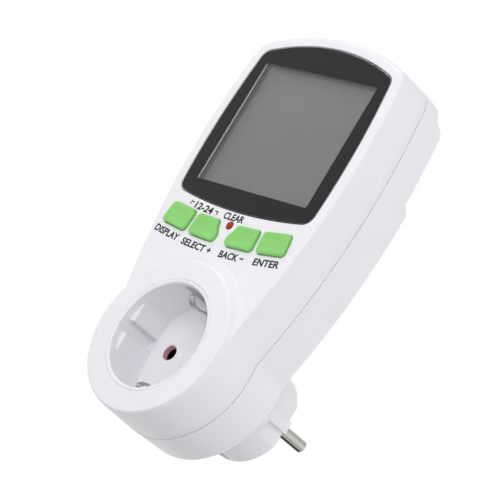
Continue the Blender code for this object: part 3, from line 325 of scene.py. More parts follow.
WHITE_ABS = finish_of(
    "white_moulding", (0.835, 0.828, 0.865), 0.40, grain=0.0006, relief=0.000012, drift=0.01
)
GREEN_SILICONE = finish_of("green_silicone", (0.235, 0.615, 0.150), 0.4, grain=0.0004, relief=0.00002)
RED_PLUNGER = finish_of("red_plunger", (0.36, 0.028, 0.016), 0.5, drift=0.05, gloss=0.2)
CLEAR_WINDOW = clear_acrylic()
WINDOW_PRINT = finish_of("window_print", (0.003, 0.003, 0.003), 0.06, relief=0.000001, gloss=0.29)
POLARISER = finish_of("polariser", (0.105, 0.105, 0.100), 0.4, relief=0.000006, patch=0.03, gloss=0.2)
# black foam, whose rim past the window's opening is painted shade
GASKET_AND_SHADE = finish_of("painted_shade_gasket", (0.012, 0.012, 0.012), 0.8, relief=0.00008, drift=0.2)
LEGEND_INK = finish_of(
    "legend_ink", (0.004, 0.004, 0.005), 0.6, grain=0.0002, drift=0.15, patch=0.002, gloss=0.3
)
NICKEL = finish_of("nickel_plate", (0.36, 0.35, 0.325), 0.17, relief=0.000002, patch=0.003, metallic=1.0)
SPRING_NICKEL = finish_of(
    "spring_nickel", (0.48, 0.465, 0.43), 0.2, relief=0.000004, patch=0.002, metallic=1.0
)
BRIGHT_NICKEL = finish_of("bright_nickel", (0.82, 0.81, 0.80), 0.5, patch=0.002, metallic=1.0)
# painted reflection: a mauve for the coppery light that the contacts throw on the pin holes' walls
PAINTED_BOUNCE = finish_of("painted_copper_bounce", (0.70, 0.44, 0.50), 0.5, drift=0.06, patch=0.002)
ZINC = finish_of("zinc_screw", (0.42, 0.42, 0.43), 0.36, drift=0.08, patch=0.001, metallic=1.0)
print("finishes", len(bpy.data.materials))

# %% [markdown]
# Everything is drawn in metres in two directions, across and up, and pushed to a depth behind the mouth of
# the socket, as on a mould maker's drawing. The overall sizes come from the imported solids. The rest are the
# few radii that the outline needs.

# %% Sizes of the housing
MOUTH_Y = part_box("socket_insert")[0].y
CLEARANCE = 0.0003
TOP_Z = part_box("front_shell")[1].z
HALF_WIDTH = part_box("front_shell")[1].x
END_RADIUS = -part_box("front_shell")[0].z
WIDEST_Z = 0.0760
SIDE_RADIUS = 0.263
TOP_RADIUS = 0.088
CORNER_RADIUS = 0.0075
NECK_RADIUS = 0.012
SIDE_CENTRE = (HALF_WIDTH - SIDE_RADIUS, WIDEST_Z)


def depths_of(node):
    """How far behind the mouth of the socket a solid begins and ends."""
    low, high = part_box(node)
    return low.y - MOUTH_Y, high.y - MOUTH_Y


print("housing", round(2 * HALF_WIDTH, 4), "m wide and", round(TOP_Z + END_RADIUS, 4), "m tall")

# %% [markdown]
# The outlines are chains of arcs, because that is how a mould maker draws them, and arcs stay exact at any
# inset. Where two arcs meet in a round corner, the corner's centre is the crossing of two helper circles.
# Curves with handles could be bent to the same shape, but an inset of them would no longer be even.

# %% Arcs
SMALL_STEPS = 6


def angle_to(start, end):
    """Direction from one point to another."""
    return math.atan2(end[1] - start[1], end[0] - start[0])


def arc(centre, radius, start, end, count):
    """Points of an arc, both ends included."""
    angles = [start + (end - start) * i / count for i in range(count + 1)]
    return [(centre[0] + radius * math.cos(a), centre[1] + radius * math.sin(a)) for a in angles]


def circle(x, z, radius, count):
    """A full circle."""
    return arc((x, z), radius, 0.0, 2 * math.pi, count)[:-1]


def circle_cross(a, radius_a, b, radius_b, highest=True):
    """The higher or the lower of the two points where two circles cross."""
    gap = math.dist(a, b)
    along = (gap**2 + radius_a**2 - radius_b**2) / (2 * gap)
    aside = math.sqrt(max(0.0, radius_a**2 - along**2))
    ux, uz = (b[0] - a[0]) / gap, (b[1] - a[1]) / gap
    points = [(a[0] + along * ux - s * aside * uz, a[1] + along * uz + s * aside * ux) for s in (-1, 1)]
    points.sort(key=lambda point: point[1])
    return points[1] if highest else points[0]


def closed(arcs):
    """Chain the arcs of a right half into one closed outline with its mirror image."""
    half = list(arcs[0])
    for piece in arcs[1:]:
        half += piece[1:]
    return half + [(-x, z) for x, z in reversed(half[1:-1])]


def round_rectangle(x, z, width, height, corner, count=SMALL_STEPS):
    """A rectangle with round corners about a centre."""
    points = []
    for turn, (sx, sz) in enumerate(((1, -1), (1, 1), (-1, 1), (-1, -1))):
        centre = (x + sx * (width / 2 - corner), z + sz * (height / 2 - corner))
        start = (turn - 1) * math.pi / 2
        points += arc(centre, corner, start, start + math.pi / 2, count)
    return points


print("a small corner has", SMALL_STEPS, "steps")

# %% [markdown]
# The housing has a round end, a soft neck, long bowed sides and a crowned top. Each arc always has the same
# number of points, whatever the inset, so outlines at different insets join into clean strips of quads.

# %% Outline of the housing
END_STEPS = 64
NECK_STEPS = 12
SIDE_STEPS = 72
CORNER_STEPS = 18
TOP_STEPS = 30


def housing_loop(inset=0.0):
    """Round end, soft neck, long side arcs and crowned top, set in by one distance."""
    axis = (0.0, 0.0)
    top = (0.0, TOP_Z - TOP_RADIUS)
    neck = circle_cross(SIDE_CENTRE, SIDE_RADIUS + NECK_RADIUS, axis, END_RADIUS + NECK_RADIUS)
    shoulder = circle_cross(SIDE_CENTRE, SIDE_RADIUS - CORNER_RADIUS, top, TOP_RADIUS - CORNER_RADIUS)
    turn = angle_to(axis, neck)
    low, high = angle_to(SIDE_CENTRE, neck), angle_to(SIDE_CENTRE, shoulder)
    return closed([
        arc(axis, END_RADIUS - inset, -math.pi / 2, turn, END_STEPS),
        arc(neck, NECK_RADIUS + inset, turn + math.pi, low + math.pi, NECK_STEPS),
        arc(SIDE_CENTRE, SIDE_RADIUS - inset, low, high, SIDE_STEPS),
        arc(shoulder, CORNER_RADIUS - inset, high, angle_to(top, shoulder), CORNER_STEPS),
        arc(top, TOP_RADIUS - inset, angle_to(top, shoulder), math.pi / 2, TOP_STEPS),
    ])


print("the housing's outline has", len(housing_loop()), "points")

# %% [markdown]
# The window's plate follows the housing's sides and top at an even margin, and its lower edge is gently
# bowed. So it is drawn from the same side arcs, with a larger inset, and closed by a wide arc below.

# %% Outline of the window
LENS_MARGIN = 0.0048
LENS_CORNER = 0.0042
LENS_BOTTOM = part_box("display_lens")[0].z
CHIN_RADIUS = 0.185


def bulged_loop(side_radius, top, top_radius, bottom, bottom_radius, corner):
    """An outline between the two side arcs, a top arc and a bottom arc, with round corners."""
    low = circle_cross(SIDE_CENTRE, side_radius - corner, bottom, bottom_radius - corner, False)
    high = circle_cross(SIDE_CENTRE, side_radius - corner, top, top_radius - corner)
    side_low, side_high = angle_to(SIDE_CENTRE, low), angle_to(SIDE_CENTRE, high)
    return closed([
        arc(bottom, bottom_radius, -math.pi / 2, angle_to(bottom, low), TOP_STEPS),
        arc(low, corner, angle_to(bottom, low), side_low, CORNER_STEPS),
        arc(SIDE_CENTRE, side_radius, side_low, side_high, SIDE_STEPS),
        arc(high, corner, side_high, angle_to(top, high), CORNER_STEPS),
        arc(top, top_radius, angle_to(top, high), math.pi / 2, TOP_STEPS),
    ])


def lens_loop(grow=0.0):
    """The lens follows the housing's sides and top, and its lower edge is gently bowed."""
    return bulged_loop(
        SIDE_RADIUS - LENS_MARGIN + grow,
        (0.0, TOP_Z - TOP_RADIUS),
        TOP_RADIUS - LENS_MARGIN + grow,
        (0.0, LENS_BOTTOM + CHIN_RADIUS),
        CHIN_RADIUS + grow,
        LENS_CORNER + grow,
    )


print("the window's outline has", len(lens_loop()), "points")

# %% [markdown]
# Two questions come up again and again: does a point lie inside an outline, and how far is it from one? The
# first is answered by counting how often a level line from the point crosses the outline, the second by the
# nearest point of every edge. Both are asked for thousands of points at once, so the points are held in
# arrays.

# %% Points and outlines
NO_LENGTH = 1e-18


def inside(points, loop):
    """For each point, whether it lies inside a closed outline."""
    result = np.zeros(len(points), bool)
    x, z = points[:, 0], points[:, 1]
    for (ax, az), (bx, bz) in zip(loop, loop[1:] + loop[:1]):
        if az == bz:
            continue
        crosses = (az > z) != (bz > z)
        result ^= crosses & (x < ax + (z - az) * (bx - ax) / (bz - az))
    return result


def distance_to(points, loop):
    """For each point, its distance from a closed outline."""
    starts = np.array(loop)
    along = np.roll(starts, -1, axis=0) - starts
    away = points[:, None, :] - starts[None, :, :]
    share = (away * along).sum(2) / np.maximum((along**2).sum(1), NO_LENGTH)
    nearest = away - np.clip(share, 0.0, 1.0)[:, :, None] * along
    return np.sqrt((nearest**2).sum(2)).min(1)


print("the socket's axis lies inside the outline:", bool(inside(np.zeros((1, 2)), housing_loop())[0]))

# %% [markdown]
# A moulded skin is built from rings: closed outlines, each at its own depth. Two rings with as many points
# make a band of quads. A flat stretch between one outer ring and several holes is filled with triangles
# that respect every ring, which is what a constrained triangulation does. Cutting the holes out of a solid
# would be shorter, but it leaves long thin faces that shade badly.

# %% Skins made of rings
SLIVER = 1e-12
FILL_NEAR = 1e-9


class Skin:
    """Points and faces of one skin. A ring is a list of indices of its points."""

    def __init__(self):
        self.points = []
        self.faces = []

    def ring(self, loop, depth):
        """Add a closed outline at one depth, or at a depth for each of its points."""
        depths = np.broadcast_to(depth, len(loop))
        first = len(self.points)
        self.points += [(x, d + MOUTH_Y, z) for (x, z), d in zip(loop, depths)]
        return list(range(first, len(self.points)))

    def band(self, a, b):
        """Quads between two rings with as many points."""
        for i in range(len(a)):
            j = (i + 1) % len(a)
            self.faces.append((a[i], a[j], b[j], b[i]))

    def bands(self, rings):
        """Quads along a row of rings; returns the first and the last ring."""
        for a, b in zip(rings, rings[1:]):
            self.band(a, b)
        return rings[0], rings[-1]

    def flat(self, ring):
        """The outline of a ring, seen from the front."""
        return [(self.points[i][0], self.points[i][2]) for i in ring]

    def fill(self, outer, holes=(), extra=(), depth_at=None):
        """Triangles between an outer ring and its holes, with extra (x, z) points at their own depth."""
        owners = list(outer) + [i for hole in holes for i in hole]
        edges = []
        for ring in [outer, *holes]:
            first = len(edges)
            edges += [(first + i, first + (i + 1) % len(ring)) for i in range(len(ring))]
        for x, z in extra:
            owners.append(len(self.points))
            self.points.append((x, depth_at(x, z) + MOUTH_Y, z))
        flat = [Vector((self.points[i][0], self.points[i][2])) for i in owners]
        _, _, faces, origins, _, _ = delaunay_2d_cdt(flat, edges, [], 0, FILL_NEAR)
        ids = [owners[origin[0]] for origin in origins]
        corners = np.array([[flat[origins[v][0]] for v in face] for face in faces])
        centres = corners.mean(axis=1)
        first, second = (corners[:, 1:] - corners[:, :1]).transpose(1, 0, 2)
        area = np.abs(first[:, 0] * second[:, 1] - first[:, 1] * second[:, 0]) / 2
        keep = inside(centres, self.flat(outer)) & (area > SLIVER)
        for hole in holes:
            keep &= ~inside(centres, self.flat(hole))
        self.faces += [tuple(ids[v] for v in face) for face, kept in zip(faces, keep) if kept]


print("triangles under", SLIVER, "square metres are left out")

# %% [markdown]
# A finished skin becomes a mesh: points within a weld of each other are merged, and the faces are turned to
# point out. The mesh becomes a piece with one finish, smooth except where it turns sharply, and the piece
# is handed over to the body that carries it. A closed skin has no open edge, so each piece prints how many
# it has.

# %% Pieces made of skins
WELD = 1e-7
SHARP_TURN = 32.0


def open_edges(mesh):
    """How many edges don't have two faces; none on a closed skin."""
    bm = bmesh.new()
    bm.from_mesh(mesh)
    count = sum(len(edge.link_faces) != 2 for edge in bm.edges)
    bm.free()
    return count


def close_skin(skin, name):
    """Turn a skin into a mesh with its doubles merged and its faces pointing out."""
    mesh = bpy.data.meshes.new(name)
    mesh.from_pydata(skin.points, [], skin.faces)
    bm = bmesh.new()
    bm.from_mesh(mesh)
    bmesh.ops.remove_doubles(bm, verts=bm.verts, dist=WELD)
    bmesh.ops.recalc_face_normals(bm, faces=bm.faces)
    bm.to_mesh(mesh)
    bm.free()
    return mesh


def add_piece(name, mesh, material, sharp=SHARP_TURN):
    """Link a mesh as a piece with its finish, smooth except where it turns sharply."""
    obj = new_object(name, mesh)
    mesh.materials.clear()
    mesh.materials.append(material)
    mesh.shade_smooth()
    mesh.set_sharp_from_angle(angle=math.radians(sharp))
    print(name, len(mesh.polygons), "faces,", open_edges(mesh), "open edges")
    return obj


def hand_over(obj, body, slot, *nodes):
    """Let a piece ride on a body and let it stand for its solids; the slot is not used."""
    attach(obj, body)
    if nodes:
        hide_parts(*nodes)


def fixed_piece(skin, name, finish, slot, *nodes):
    """Hand over a closed skin as a piece that is fixed to the meter."""
    piece = add_piece(name, close_skin(skin, name), finish)
    hand_over(piece, "meter", slot, *nodes)
    return piece


print("skins weld points within", WELD, "m")

# %% [markdown]
# The keys lie on a smiling arc. Each starts as a round-cornered rectangle on a level row, and the row is then
# bent along the arc, so that all keys keep one height.

# %% The row of keys
ROW_Z = 0.0413
ROW_RADIUS = 0.194
KEY_HEIGHT = 0.0082
KEY_CORNER = 0.0015
KEY_SPANS = {
    "mode_button": (-0.0302, -0.0180),
    "up_button": (-0.0156, -0.0027),
    "down_button": (0.0027, 0.0156),
    "set_button": (0.0180, 0.0302),
}
RESET_Z = sum(corner.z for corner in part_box("reset_button")) / 2


def bent(points):
    """Bend points about a level row into the arc of the keys."""
    result = []
    for u, v in points:
        radius = ROW_RADIUS - v
        turn = u / ROW_RADIUS
        result.append((radius * math.sin(turn), ROW_Z + ROW_RADIUS - radius * math.cos(turn)))
    return result


print("the row is", len(KEY_SPANS), "keys about height", ROW_Z)

# %% [markdown]
# The two inner keys have a bite for the round reset key. Points that fall into the bite are pushed out to
# its circle. Resampling the outline at even steps and softening it near the bite gives the moulded look of
# the real corners, and an even offset then stays clean.

# %% Outlines of the keys
BITE_RADIUS = 0.0047
KEY_STEP = 0.0002
KEY_SOFTENING = 56
KEY_SOFTNESS = 0.5


def even_steps(loop, step):
    """The same outline with its points at even steps."""
    points = np.vstack([loop, loop[:1]])
    lengths = np.concatenate([[0.0], np.cumsum(np.hypot(*np.diff(points, axis=0).T))])
    count = int(round(lengths[-1] / step))
    places = np.linspace(0.0, lengths[-1], count, endpoint=False)
    return np.column_stack([np.interp(places, lengths, points[:, i]) for i in (0, 1)])


def key_loop(name):
    """Outline of one key, with the bite where it comes near the reset key."""
    start, end = KEY_SPANS[name]
    flat = round_rectangle((start + end) / 2, 0.0, end - start, KEY_HEIGHT, KEY_CORNER)
    points = even_steps(bent(flat), KEY_STEP)
    reset = np.array([0.0, RESET_Z])
    gap = np.hypot(*(points - reset).T)
    bitten = gap < BITE_RADIUS
    points[bitten] = reset + (points - reset)[bitten] * (BITE_RADIUS / gap[bitten])[:, None]
    points = even_steps(points, KEY_STEP)
    gap = np.hypot(*(points - reset).T)
    near = np.clip((2 * BITE_RADIUS - gap) / BITE_RADIUS, 0.0, KEY_SOFTNESS)[:, None]
    for _ in range(KEY_SOFTENING):
        middle = (np.roll(points, 1, axis=0) + np.roll(points, -1, axis=0)) / 2
        points += near * (middle - points)
    return [tuple(point) for point in even_steps(points, KEY_STEP)]


def offset_loop(loop, distance):
    """Move an outline outwards, each point along its own normal."""
    points = np.array(loop)
    along = np.roll(points, -1, axis=0) - np.roll(points, 1, axis=0)
    along /= np.hypot(*along.T)[:, None]
    outward = np.column_stack([along[:, 1], -along[:, 0]])
    return [tuple(point) for point in points + distance * outward]


KEY_LOOPS = {name: key_loop(name) for name in KEY_SPANS}
print("key outlines", {name: len(loop) for name, loop in KEY_LOOPS.items()})

# %% [markdown]
# The front shell is the hero of the picture: a face with rounded edges, and round the socket a raised flat
# land that drops to the face over a rounded crest, a slope and a hollow foot. The slope is soft above and
# steep at the neck, where the wall cuts across it, and at the round end the land runs out into the wall. So
# the depth of the face is one rule of the place, which every ring and every point of the face can ask.

# %% Depth of the face
FACE = 0.0025
LAND_FLAT = (0.0285, 0.0274)
LAND_CREST = (0.0006, 0.0026)
LAND_FOOT = (0.0005, 0.0014)
LAND_SLOPE = (math.radians(75.0), math.radians(38.0))
LAND_TURN = (math.radians(10.0), math.radians(50.0))


def soft_step(run, drop, crest_round, foot_round, slope=None):
    """How far a surface has dropped at a distance past the rounded crest of a step: slope, then foot."""
    if slope is None:
        slope = math.acos(1 - drop / (crest_round + foot_round))
    crest_run = crest_round * math.sin(slope)
    foot_run = foot_round * math.sin(slope)
    straight = (drop - (crest_round + foot_round) * (1 - math.cos(slope))) / math.tan(slope)
    left = straight + foot_run - run
    if run <= -crest_run:
        return 0.0
    if run <= 0.0:
        return crest_round - math.sqrt(crest_round**2 - (run + crest_run) ** 2)
    if left <= 0.0:
        return drop
    if left <= foot_run:
        return drop - foot_round + math.sqrt(foot_round**2 - left**2)
    return crest_round * (1 - math.cos(slope)) + run * math.tan(slope)


def eased(share):
    """A share from 0 to 1 that starts and ends softly."""
    return share**2 * (3 - 2 * share)


def land_depth(x, z):
    """Depth of the face: land, slope, then the plain face. The slope is soft above and steep at the neck."""
    turn = math.atan2(z, abs(x))
    share = eased(min(1.0, max(0.0, (turn - LAND_TURN[0]) / (LAND_TURN[1] - LAND_TURN[0]))))
    rules = (LAND_FLAT, LAND_SLOPE, LAND_CREST, LAND_FOOT)
    flat, slope, crest, foot = [low + share * (high - low) for low, high in rules]
    return soft_step(math.hypot(x, z) - flat - crest * math.sin(slope), FACE, crest, foot, slope)


print("the land stands", land_depth(HALF_WIDTH, HALF_WIDTH) - land_depth(0.0, 0.0), "m proud")

# %% [markdown]
# Both shells begin at the parting plane with a tiny round, which draws the fine line between them, and their
# walls lean in a little, as a part must that leaves its mould. A hole in the face begins with a rounded lip.
# A flat ring just outside each lip, its guard, keeps the shading of the flat stretch flat.

# %% Rings of the shells
GUARD = 0.0002
HOUSING = np.array(housing_loop())
HOUSING_INWARD = (np.array(housing_loop(GUARD)) - HOUSING) / GUARD
PARTING = 0.0184
SEAM = 0.0003
SEAM_ROUND = 0.00018
SEAM_TURN = 0.3
LIP_STEPS = 4


def inset_points(insets):
    """The housing's outline, set in by one distance or by a distance for each of its points."""
    return HOUSING + np.broadcast_to(insets, len(HOUSING))[:, None] * HOUSING_INWARD


def seam_rings(skin, depth, towards):
    """Two rings of the tiny round at the parting plane; towards is -1 in front of it and 1 behind it."""
    turned_in = SEAM_TURN * SEAM_ROUND
    return [
        skin.ring(inset_points(SEAM_ROUND), depth),
        skin.ring(inset_points(turned_in), depth + towards * turned_in),
    ]


def lip(skin, loop_at, depth, radius, steps=LIP_STEPS, towards=1):
    """Rings from a flat face over a rounded lip; towards is 1 to run backwards and -1 to run forwards."""
    rings = [skin.ring(loop_at(radius + GUARD), depth)]
    for i in range(steps + 1):
        turn = math.pi / 2 * i / steps
        level = depth + towards * radius * (1 - math.cos(turn))
        rings.append(skin.ring(loop_at(radius * (1 - math.sin(turn))), level))
    return rings


print("the shells part", PARTING, "m behind the mouth")

# %% [markdown]
# The edge of the front shell climbs from the parting plane up its wall and turns onto the face. Its round
# grows from the neck to the top and is small at the round end. Where the wall meets the land, the height of
# the wall depends on how far it leans and the other way round, so a few passes settle the two. A bevel on a
# finished solid would find it hard to follow such a change.

# %% Edge of the front shell
DRAFT = 0.035
EDGE_ROUND = (0.0008, 0.0016)
EDGE_HEIGHTS = (0.02, 0.10)
END_ROUND = 0.0004
END_REACH = 0.0031
NECK_TAPER = 0.0163
RIM_INSET = 0.0039
RIM_STEPS = 6
EDGE_PASSES = 4
ROUND_STEPS = 10
WALL_STEPS = 4


def shell_edge(skin, rear):
    """Rings of the edge: from the parting plane up the leaning wall and over the round onto the face."""
    heights = HOUSING[:, 1]
    apart = np.clip((np.hypot(*HOUSING.T) - END_RADIUS) / END_REACH, 0.0, 1.0)
    rounds = END_ROUND + apart * (np.interp(heights, EDGE_HEIGHTS, EDGE_ROUND) - END_ROUND)
    lean = DRAFT + apart * NECK_TAPER * np.clip(WIDEST_Z - heights, 0.0, None) / (rear - FACE)

    def level(insets):
        """Depth of the face at an inset."""
        return np.array([land_depth(x, z) for x, z in inset_points(insets)])

    tops = np.full(len(HOUSING), FACE)
    for _ in range(EDGE_PASSES):
        tops = level(lean * (rear - tops)) + rounds
    leans = lean * (rear - tops)
    rings = seam_rings(skin, rear, -1)
    for i in range(WALL_STEPS + 1):
        depths = rear - SEAM_ROUND + (tops - rear + SEAM_ROUND) * i / WALL_STEPS
        rings.append(skin.ring(inset_points(lean * (rear - depths)), depths))
    for i in range(1, ROUND_STEPS + 1):
        turn = math.pi / 2 * i / ROUND_STEPS
        insets = leans + rounds * (1 - math.cos(turn))
        rings.append(skin.ring(inset_points(insets), level(insets) + rounds * (1 - math.sin(turn))))
    flat = leans + rounds + GUARD
    for i in range(RIM_STEPS + 1):
        insets = flat + (RIM_INSET - flat) * i / RIM_STEPS
        rings.append(skin.ring(inset_points(insets), level(insets)))
    return rings


print("the edge is rounded by", EDGE_ROUND, "m, low down and at the top")

# %% [markdown]
# Each hole of the face is a row of rings, from the face over a rounded lip to the inside: one for the socket
# insert, one for the reset key and four for the keys. They are drawn together with the face, not cut out of
# it, so their lips stay clean.

# %% Holes of the front shell
FACE_WALL = 0.0032
INNER_FACE = FACE + FACE_WALL
INSERT_RADIUS = 0.0211
INSERT_LIP = 0.00012
INSERT_GAP = 0.00007
RESET_RADIUS = 0.0013
KEY_LIP = 0.00035
KEY_GAP = 0.00018
WIDE_SIDES = 144
SMALL_SIDES = 32


def shell_holes(skin):
    """The first and the last ring of each rounded hole: the insert's, the reset key's, the four keys'."""
    holes = [(lambda g: circle(0.0, 0.0, INSERT_RADIUS + INSERT_GAP + g, WIDE_SIDES), 0.0, INSERT_LIP)]
    reset = RESET_RADIUS + CLEARANCE
    holes.append((lambda g: circle(0.0, RESET_Z, reset + g, SMALL_SIDES), FACE, KEY_LIP / 2))
    for loop in KEY_LOOPS.values():
        holes.append((lambda g, loop=loop: offset_loop(loop, KEY_GAP + g), FACE, KEY_LIP))
    ends = []
    for loop_at, depth, radius in holes:
        rings = lip(skin, loop_at, depth, radius)
        ends.append(skin.bands([*rings, skin.ring(loop_at(0.0), INNER_FACE)]))
    return ends


print("the face is", FACE_WALL, "m thick at the holes")

# %% [markdown]
# The window's plate lies in a recess of the face, on a seat, and behind it is an opening that is a little
# larger than the clear part of the window. The seat is what is left between the two outlines.

# %% Place of the window
WINDOW_Z = sum(corner.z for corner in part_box("display_glass")) / 2
WINDOW_SIZE = (0.0551, 0.0488)
WINDOW_CORNER = 0.0008
WINDOW_LEDGE = 0.0006
# the taller opening lets the dark gasket, not the white ledge, show along the top: painted shade
WINDOW_HEAD = 0.0006
LENS_FRONT, LENS_BACK = depths_of("display_lens")
LENS_LIP = 0.00025


def window_loop(grow, head=0.0):
    """The window's opening, larger by a ledge and by more head room above."""
    width, height = [side + 2 * grow for side in WINDOW_SIZE]
    return round_rectangle(0.0, WINDOW_Z + head / 2, width, height + head, WINDOW_CORNER)


def window_recess(skin):
    """The first and the last ring of the window's place: rounded lip, seat and opening."""
    depth = LENS_BACK + CLEARANCE
    rings = lip(skin, lambda g: lens_loop(CLEARANCE + g), FACE, LENS_LIP)
    front, seat = skin.bands([*rings, skin.ring(lens_loop(CLEARANCE), depth)])
    opening = window_loop(WINDOW_LEDGE, WINDOW_HEAD)
    ledge, back = skin.bands([skin.ring(opening, depth), skin.ring(opening, INNER_FACE)])
    skin.fill(seat, [ledge])
    return front, back


print("the window shows", WINDOW_SIZE, "m of the display")

# %% [markdown]
# The shell is one closed skin: the edge, the inside with the lap that the back cover slides into, the holes,
# and what is left between the rings, outside and inside, which is filled. Circles of extra points give the
# land's slope its shape.

# %% Front shell
WALL = 0.0022
LAP = 0.0011
LAP_LENGTH = 0.0018
LAND_REACH = 0.0050
LAND_STEP = 0.00016
LAND_DEGREES = 1.25


def land_points(loop):
    """Points on the land's slope, in circles, where they lie on the face."""
    radii = np.arange(min(LAND_FLAT), min(LAND_FLAT) + LAND_REACH, LAND_STEP)
    turns = np.radians(np.arange(0.0, 180.0, LAND_DEGREES))
    points = np.array([(r * math.cos(t), r * math.sin(t)) for r in radii for t in turns])
    clear = inside(points, loop) & (distance_to(points, loop) > GUARD)
    return points[clear]


def front_shell():
    skin = Skin()
    rear = PARTING - SEAM / 2
    edge = shell_edge(skin, rear)
    skin.bands(edge)
    step = rear - LAP_LENGTH
    section = ((LAP, rear), (LAP, step), (WALL, step), (WALL, INNER_FACE))
    inner = [edge[0]] + [skin.ring(housing_loop(inset), depth) for inset, depth in section]
    skin.bands(inner)
    fronts, backs = zip(*shell_holes(skin), window_recess(skin))
    skin.fill(edge[-1], fronts, land_points(skin.flat(edge[-1])), land_depth)
    skin.fill(inner[-1], backs)
    return add_piece("front_moulding", close_skin(skin, "front_moulding"), WHITE_ABS)


hand_over(front_shell(), "meter", "white_shell", "front_shell")

# %% [markdown]
# Some pieces can't be drawn as one row of rings, because holes break through their edges. They are carved:
# a work piece is turned or built from rings, and tools are taken from it, added to it or shared with it,
# one after another. The doubles are merged after each cut, so that the next one starts clean.

# %% Carving
def solid(bm):
    """A work piece from a bmesh, with its faces pointing out."""
    bmesh.ops.recalc_face_normals(bm, faces=bm.faces)
    mesh = bpy.data.meshes.new("solid")
    bm.to_mesh(mesh)
    bm.free()
    return new_object("solid", mesh)


def shown_mesh(obj):
    """A plain mesh of an object as its modifiers show it."""
    bpy.context.view_layer.update()
    return bpy.data.meshes.new_from_object(obj.evaluated_get(bpy.context.evaluated_depsgraph_get()))


def settle(obj):
    """The work piece with its modifiers applied and its doubles merged."""
    mesh = shown_mesh(obj)
    bm = bmesh.new()
    bm.from_mesh(mesh)
    bmesh.ops.remove_doubles(bm, verts=bm.verts, dist=WELD)
    bmesh.ops.dissolve_degenerate(bm, edges=bm.edges, dist=WELD)
    bpy.data.meshes.remove(mesh)
    bpy.data.objects.remove(obj, do_unlink=True)
    return solid(bm)


def carve(target, tools, operation):
    """Work tools into a work piece one after another."""
    for tool in tools:
        modifier = target.modifiers.new("carve", "BOOLEAN")
        modifier.operation = operation
        modifier.object = tool
        target = settle(target)
        bpy.data.objects.remove(tool, do_unlink=True)
    return target


def cut(target, *tools):
    """Take tools from a work piece."""
    return carve(target, tools, "DIFFERENCE")


def fuse(target, *tools):
    """Add tools to a work piece."""
    return carve(target, tools, "UNION")


def shared(target, *tools):
    """Keep what a work piece shares with tools."""
    return carve(target, tools, "INTERSECT")


print("carved pieces weld points within", WELD, "m too")

# %% [markdown]
# Most work pieces and tools are turned on a lathe: a half section of radius and depth goes round an axis, as
# the real pins and screws are made.

# %% Turned work
ROUND_SIDES = 64
BORE_SIDES = 48
ON_AXIS = 1e-8


def from_skin(skin):
    """A work piece from a closed skin."""
    return new_object("solid", close_skin(skin, "solid"))


def turned(x, z, profile, sides=ROUND_SIDES):
    """A work piece turned about the depth axis through (x, z) from (radius, depth) points."""
    skin = Skin()
    skin.bands([skin.ring(circle(x, z, max(radius, ON_AXIS), sides), depth) for radius, depth in profile])
    return from_skin(skin)


def rod(x, z, radius, front, back, sides=BORE_SIDES):
    """A plain round tool along the depth."""
    return turned(x, z, [(0.0, front), (radius, front), (radius, back), (0.0, back)], sides)


print("turned pieces have", ROUND_SIDES, "sides and bores", BORE_SIDES)

# %% [markdown]
# The other tools are blocks with softened edges, as a milling cutter leaves them. A finished piece gets
# weighted normals, which keep its flat stretches flat beside the round ones.

# %% Blocks and finished pieces
BLOCK_SEGMENTS = 3
ROUND_PROFILE = 0.5


def block(x, z, width, height, front, back, rounding=0.0):
    """A box about (x, z) between two depths, with its edges rounded."""
    bm = bmesh.new()
    bmesh.ops.create_cube(bm, size=1.0)
    size = Matrix.Diagonal((width, back - front, height, 1.0))
    place = Matrix.Translation((x, (front + back) / 2 + MOUTH_Y, z))
    bmesh.ops.transform(bm, matrix=place @ size, verts=bm.verts)
    if rounding > 0.0:
        bmesh.ops.bevel(
            bm, geom=bm.edges, offset=rounding, segments=BLOCK_SEGMENTS, profile=ROUND_PROFILE, affect="EDGES"
        )
    return solid(bm)


def finished(obj, name, material, sharp=SHARP_TURN):
    """Turn a work piece into a piece, with its flat stretches shaded flat."""
    mesh = obj.data
    mesh.name = name
    bpy.data.objects.remove(obj, do_unlink=True)
    piece = add_piece(name, mesh, material, sharp)
    even = piece.modifiers.new("even", "WEIGHTED_NORMAL")
    even.keep_sharp = True
    piece.data = shown_mesh(piece)
    piece.data.name = name
    piece.modifiers.clear()
    bpy.data.meshes.remove(mesh)
    return piece


print("a block's edge has", BLOCK_SEGMENTS, "steps")

# %% [markdown]
# The back has three levels, and a soft step leads from each to the next, while the side wall runs on without
# a mark. So the depth of the back is a rule of the height, as the depth of the face is one of the place, and
# the round of its rim grows with each level.

# %% Depth of the back
BACK_LOWER = 0.0355
BACK_UPPER = 0.0339
BACK_CROWN = 0.0300
BACK_STEP_Z = 0.0798
CROWN_Z = 0.1103
LOWER_ROUND = 0.0015
BACK_ROUND = 0.0035
CROWN_ROUND = 0.0050
STEP_FOOT = 0.0006


def back_depth(z):
    """Depth of the back at a height, over its three levels."""
    upper = soft_step(z - BACK_STEP_Z, BACK_LOWER - BACK_UPPER, BACK_ROUND, STEP_FOOT)
    crown = soft_step(z - CROWN_Z, BACK_UPPER - BACK_CROWN, BACK_ROUND, STEP_FOOT)
    return BACK_LOWER - upper - crown


def rim_round(z):
    """Radius of the back's rim at a height: larger on each level further up."""
    levels = (BACK_CROWN, BACK_UPPER, BACK_LOWER)
    return float(np.interp(back_depth(z), levels, (CROWN_ROUND, BACK_ROUND, LOWER_ROUND)))


def back_levels(loop):
    """Depth of the back at each point of an outline."""
    return np.array([back_depth(z) for _, z in loop])


print("levels of the back", [round(back_depth(z), 4) for z in (0.0, (BACK_STEP_Z + CROWN_Z) / 2, TOP_Z)])

# %% [markdown]
# The cover's edge is drawn like that of the front shell, and every ring takes its depth from the rule. A
# collar round the plug is turned up on the way into the plug's hole.

# %% Edge and collar of the back cover
BACK_INSET = 0.0059
PLUG_RADIUS = 0.0182
COLLAR_WIDTH = 0.0016
COLLAR_HEIGHT = 0.0014
COLLAR_ROUND = 0.0004
PLUG_HOLE_SIDES = 120


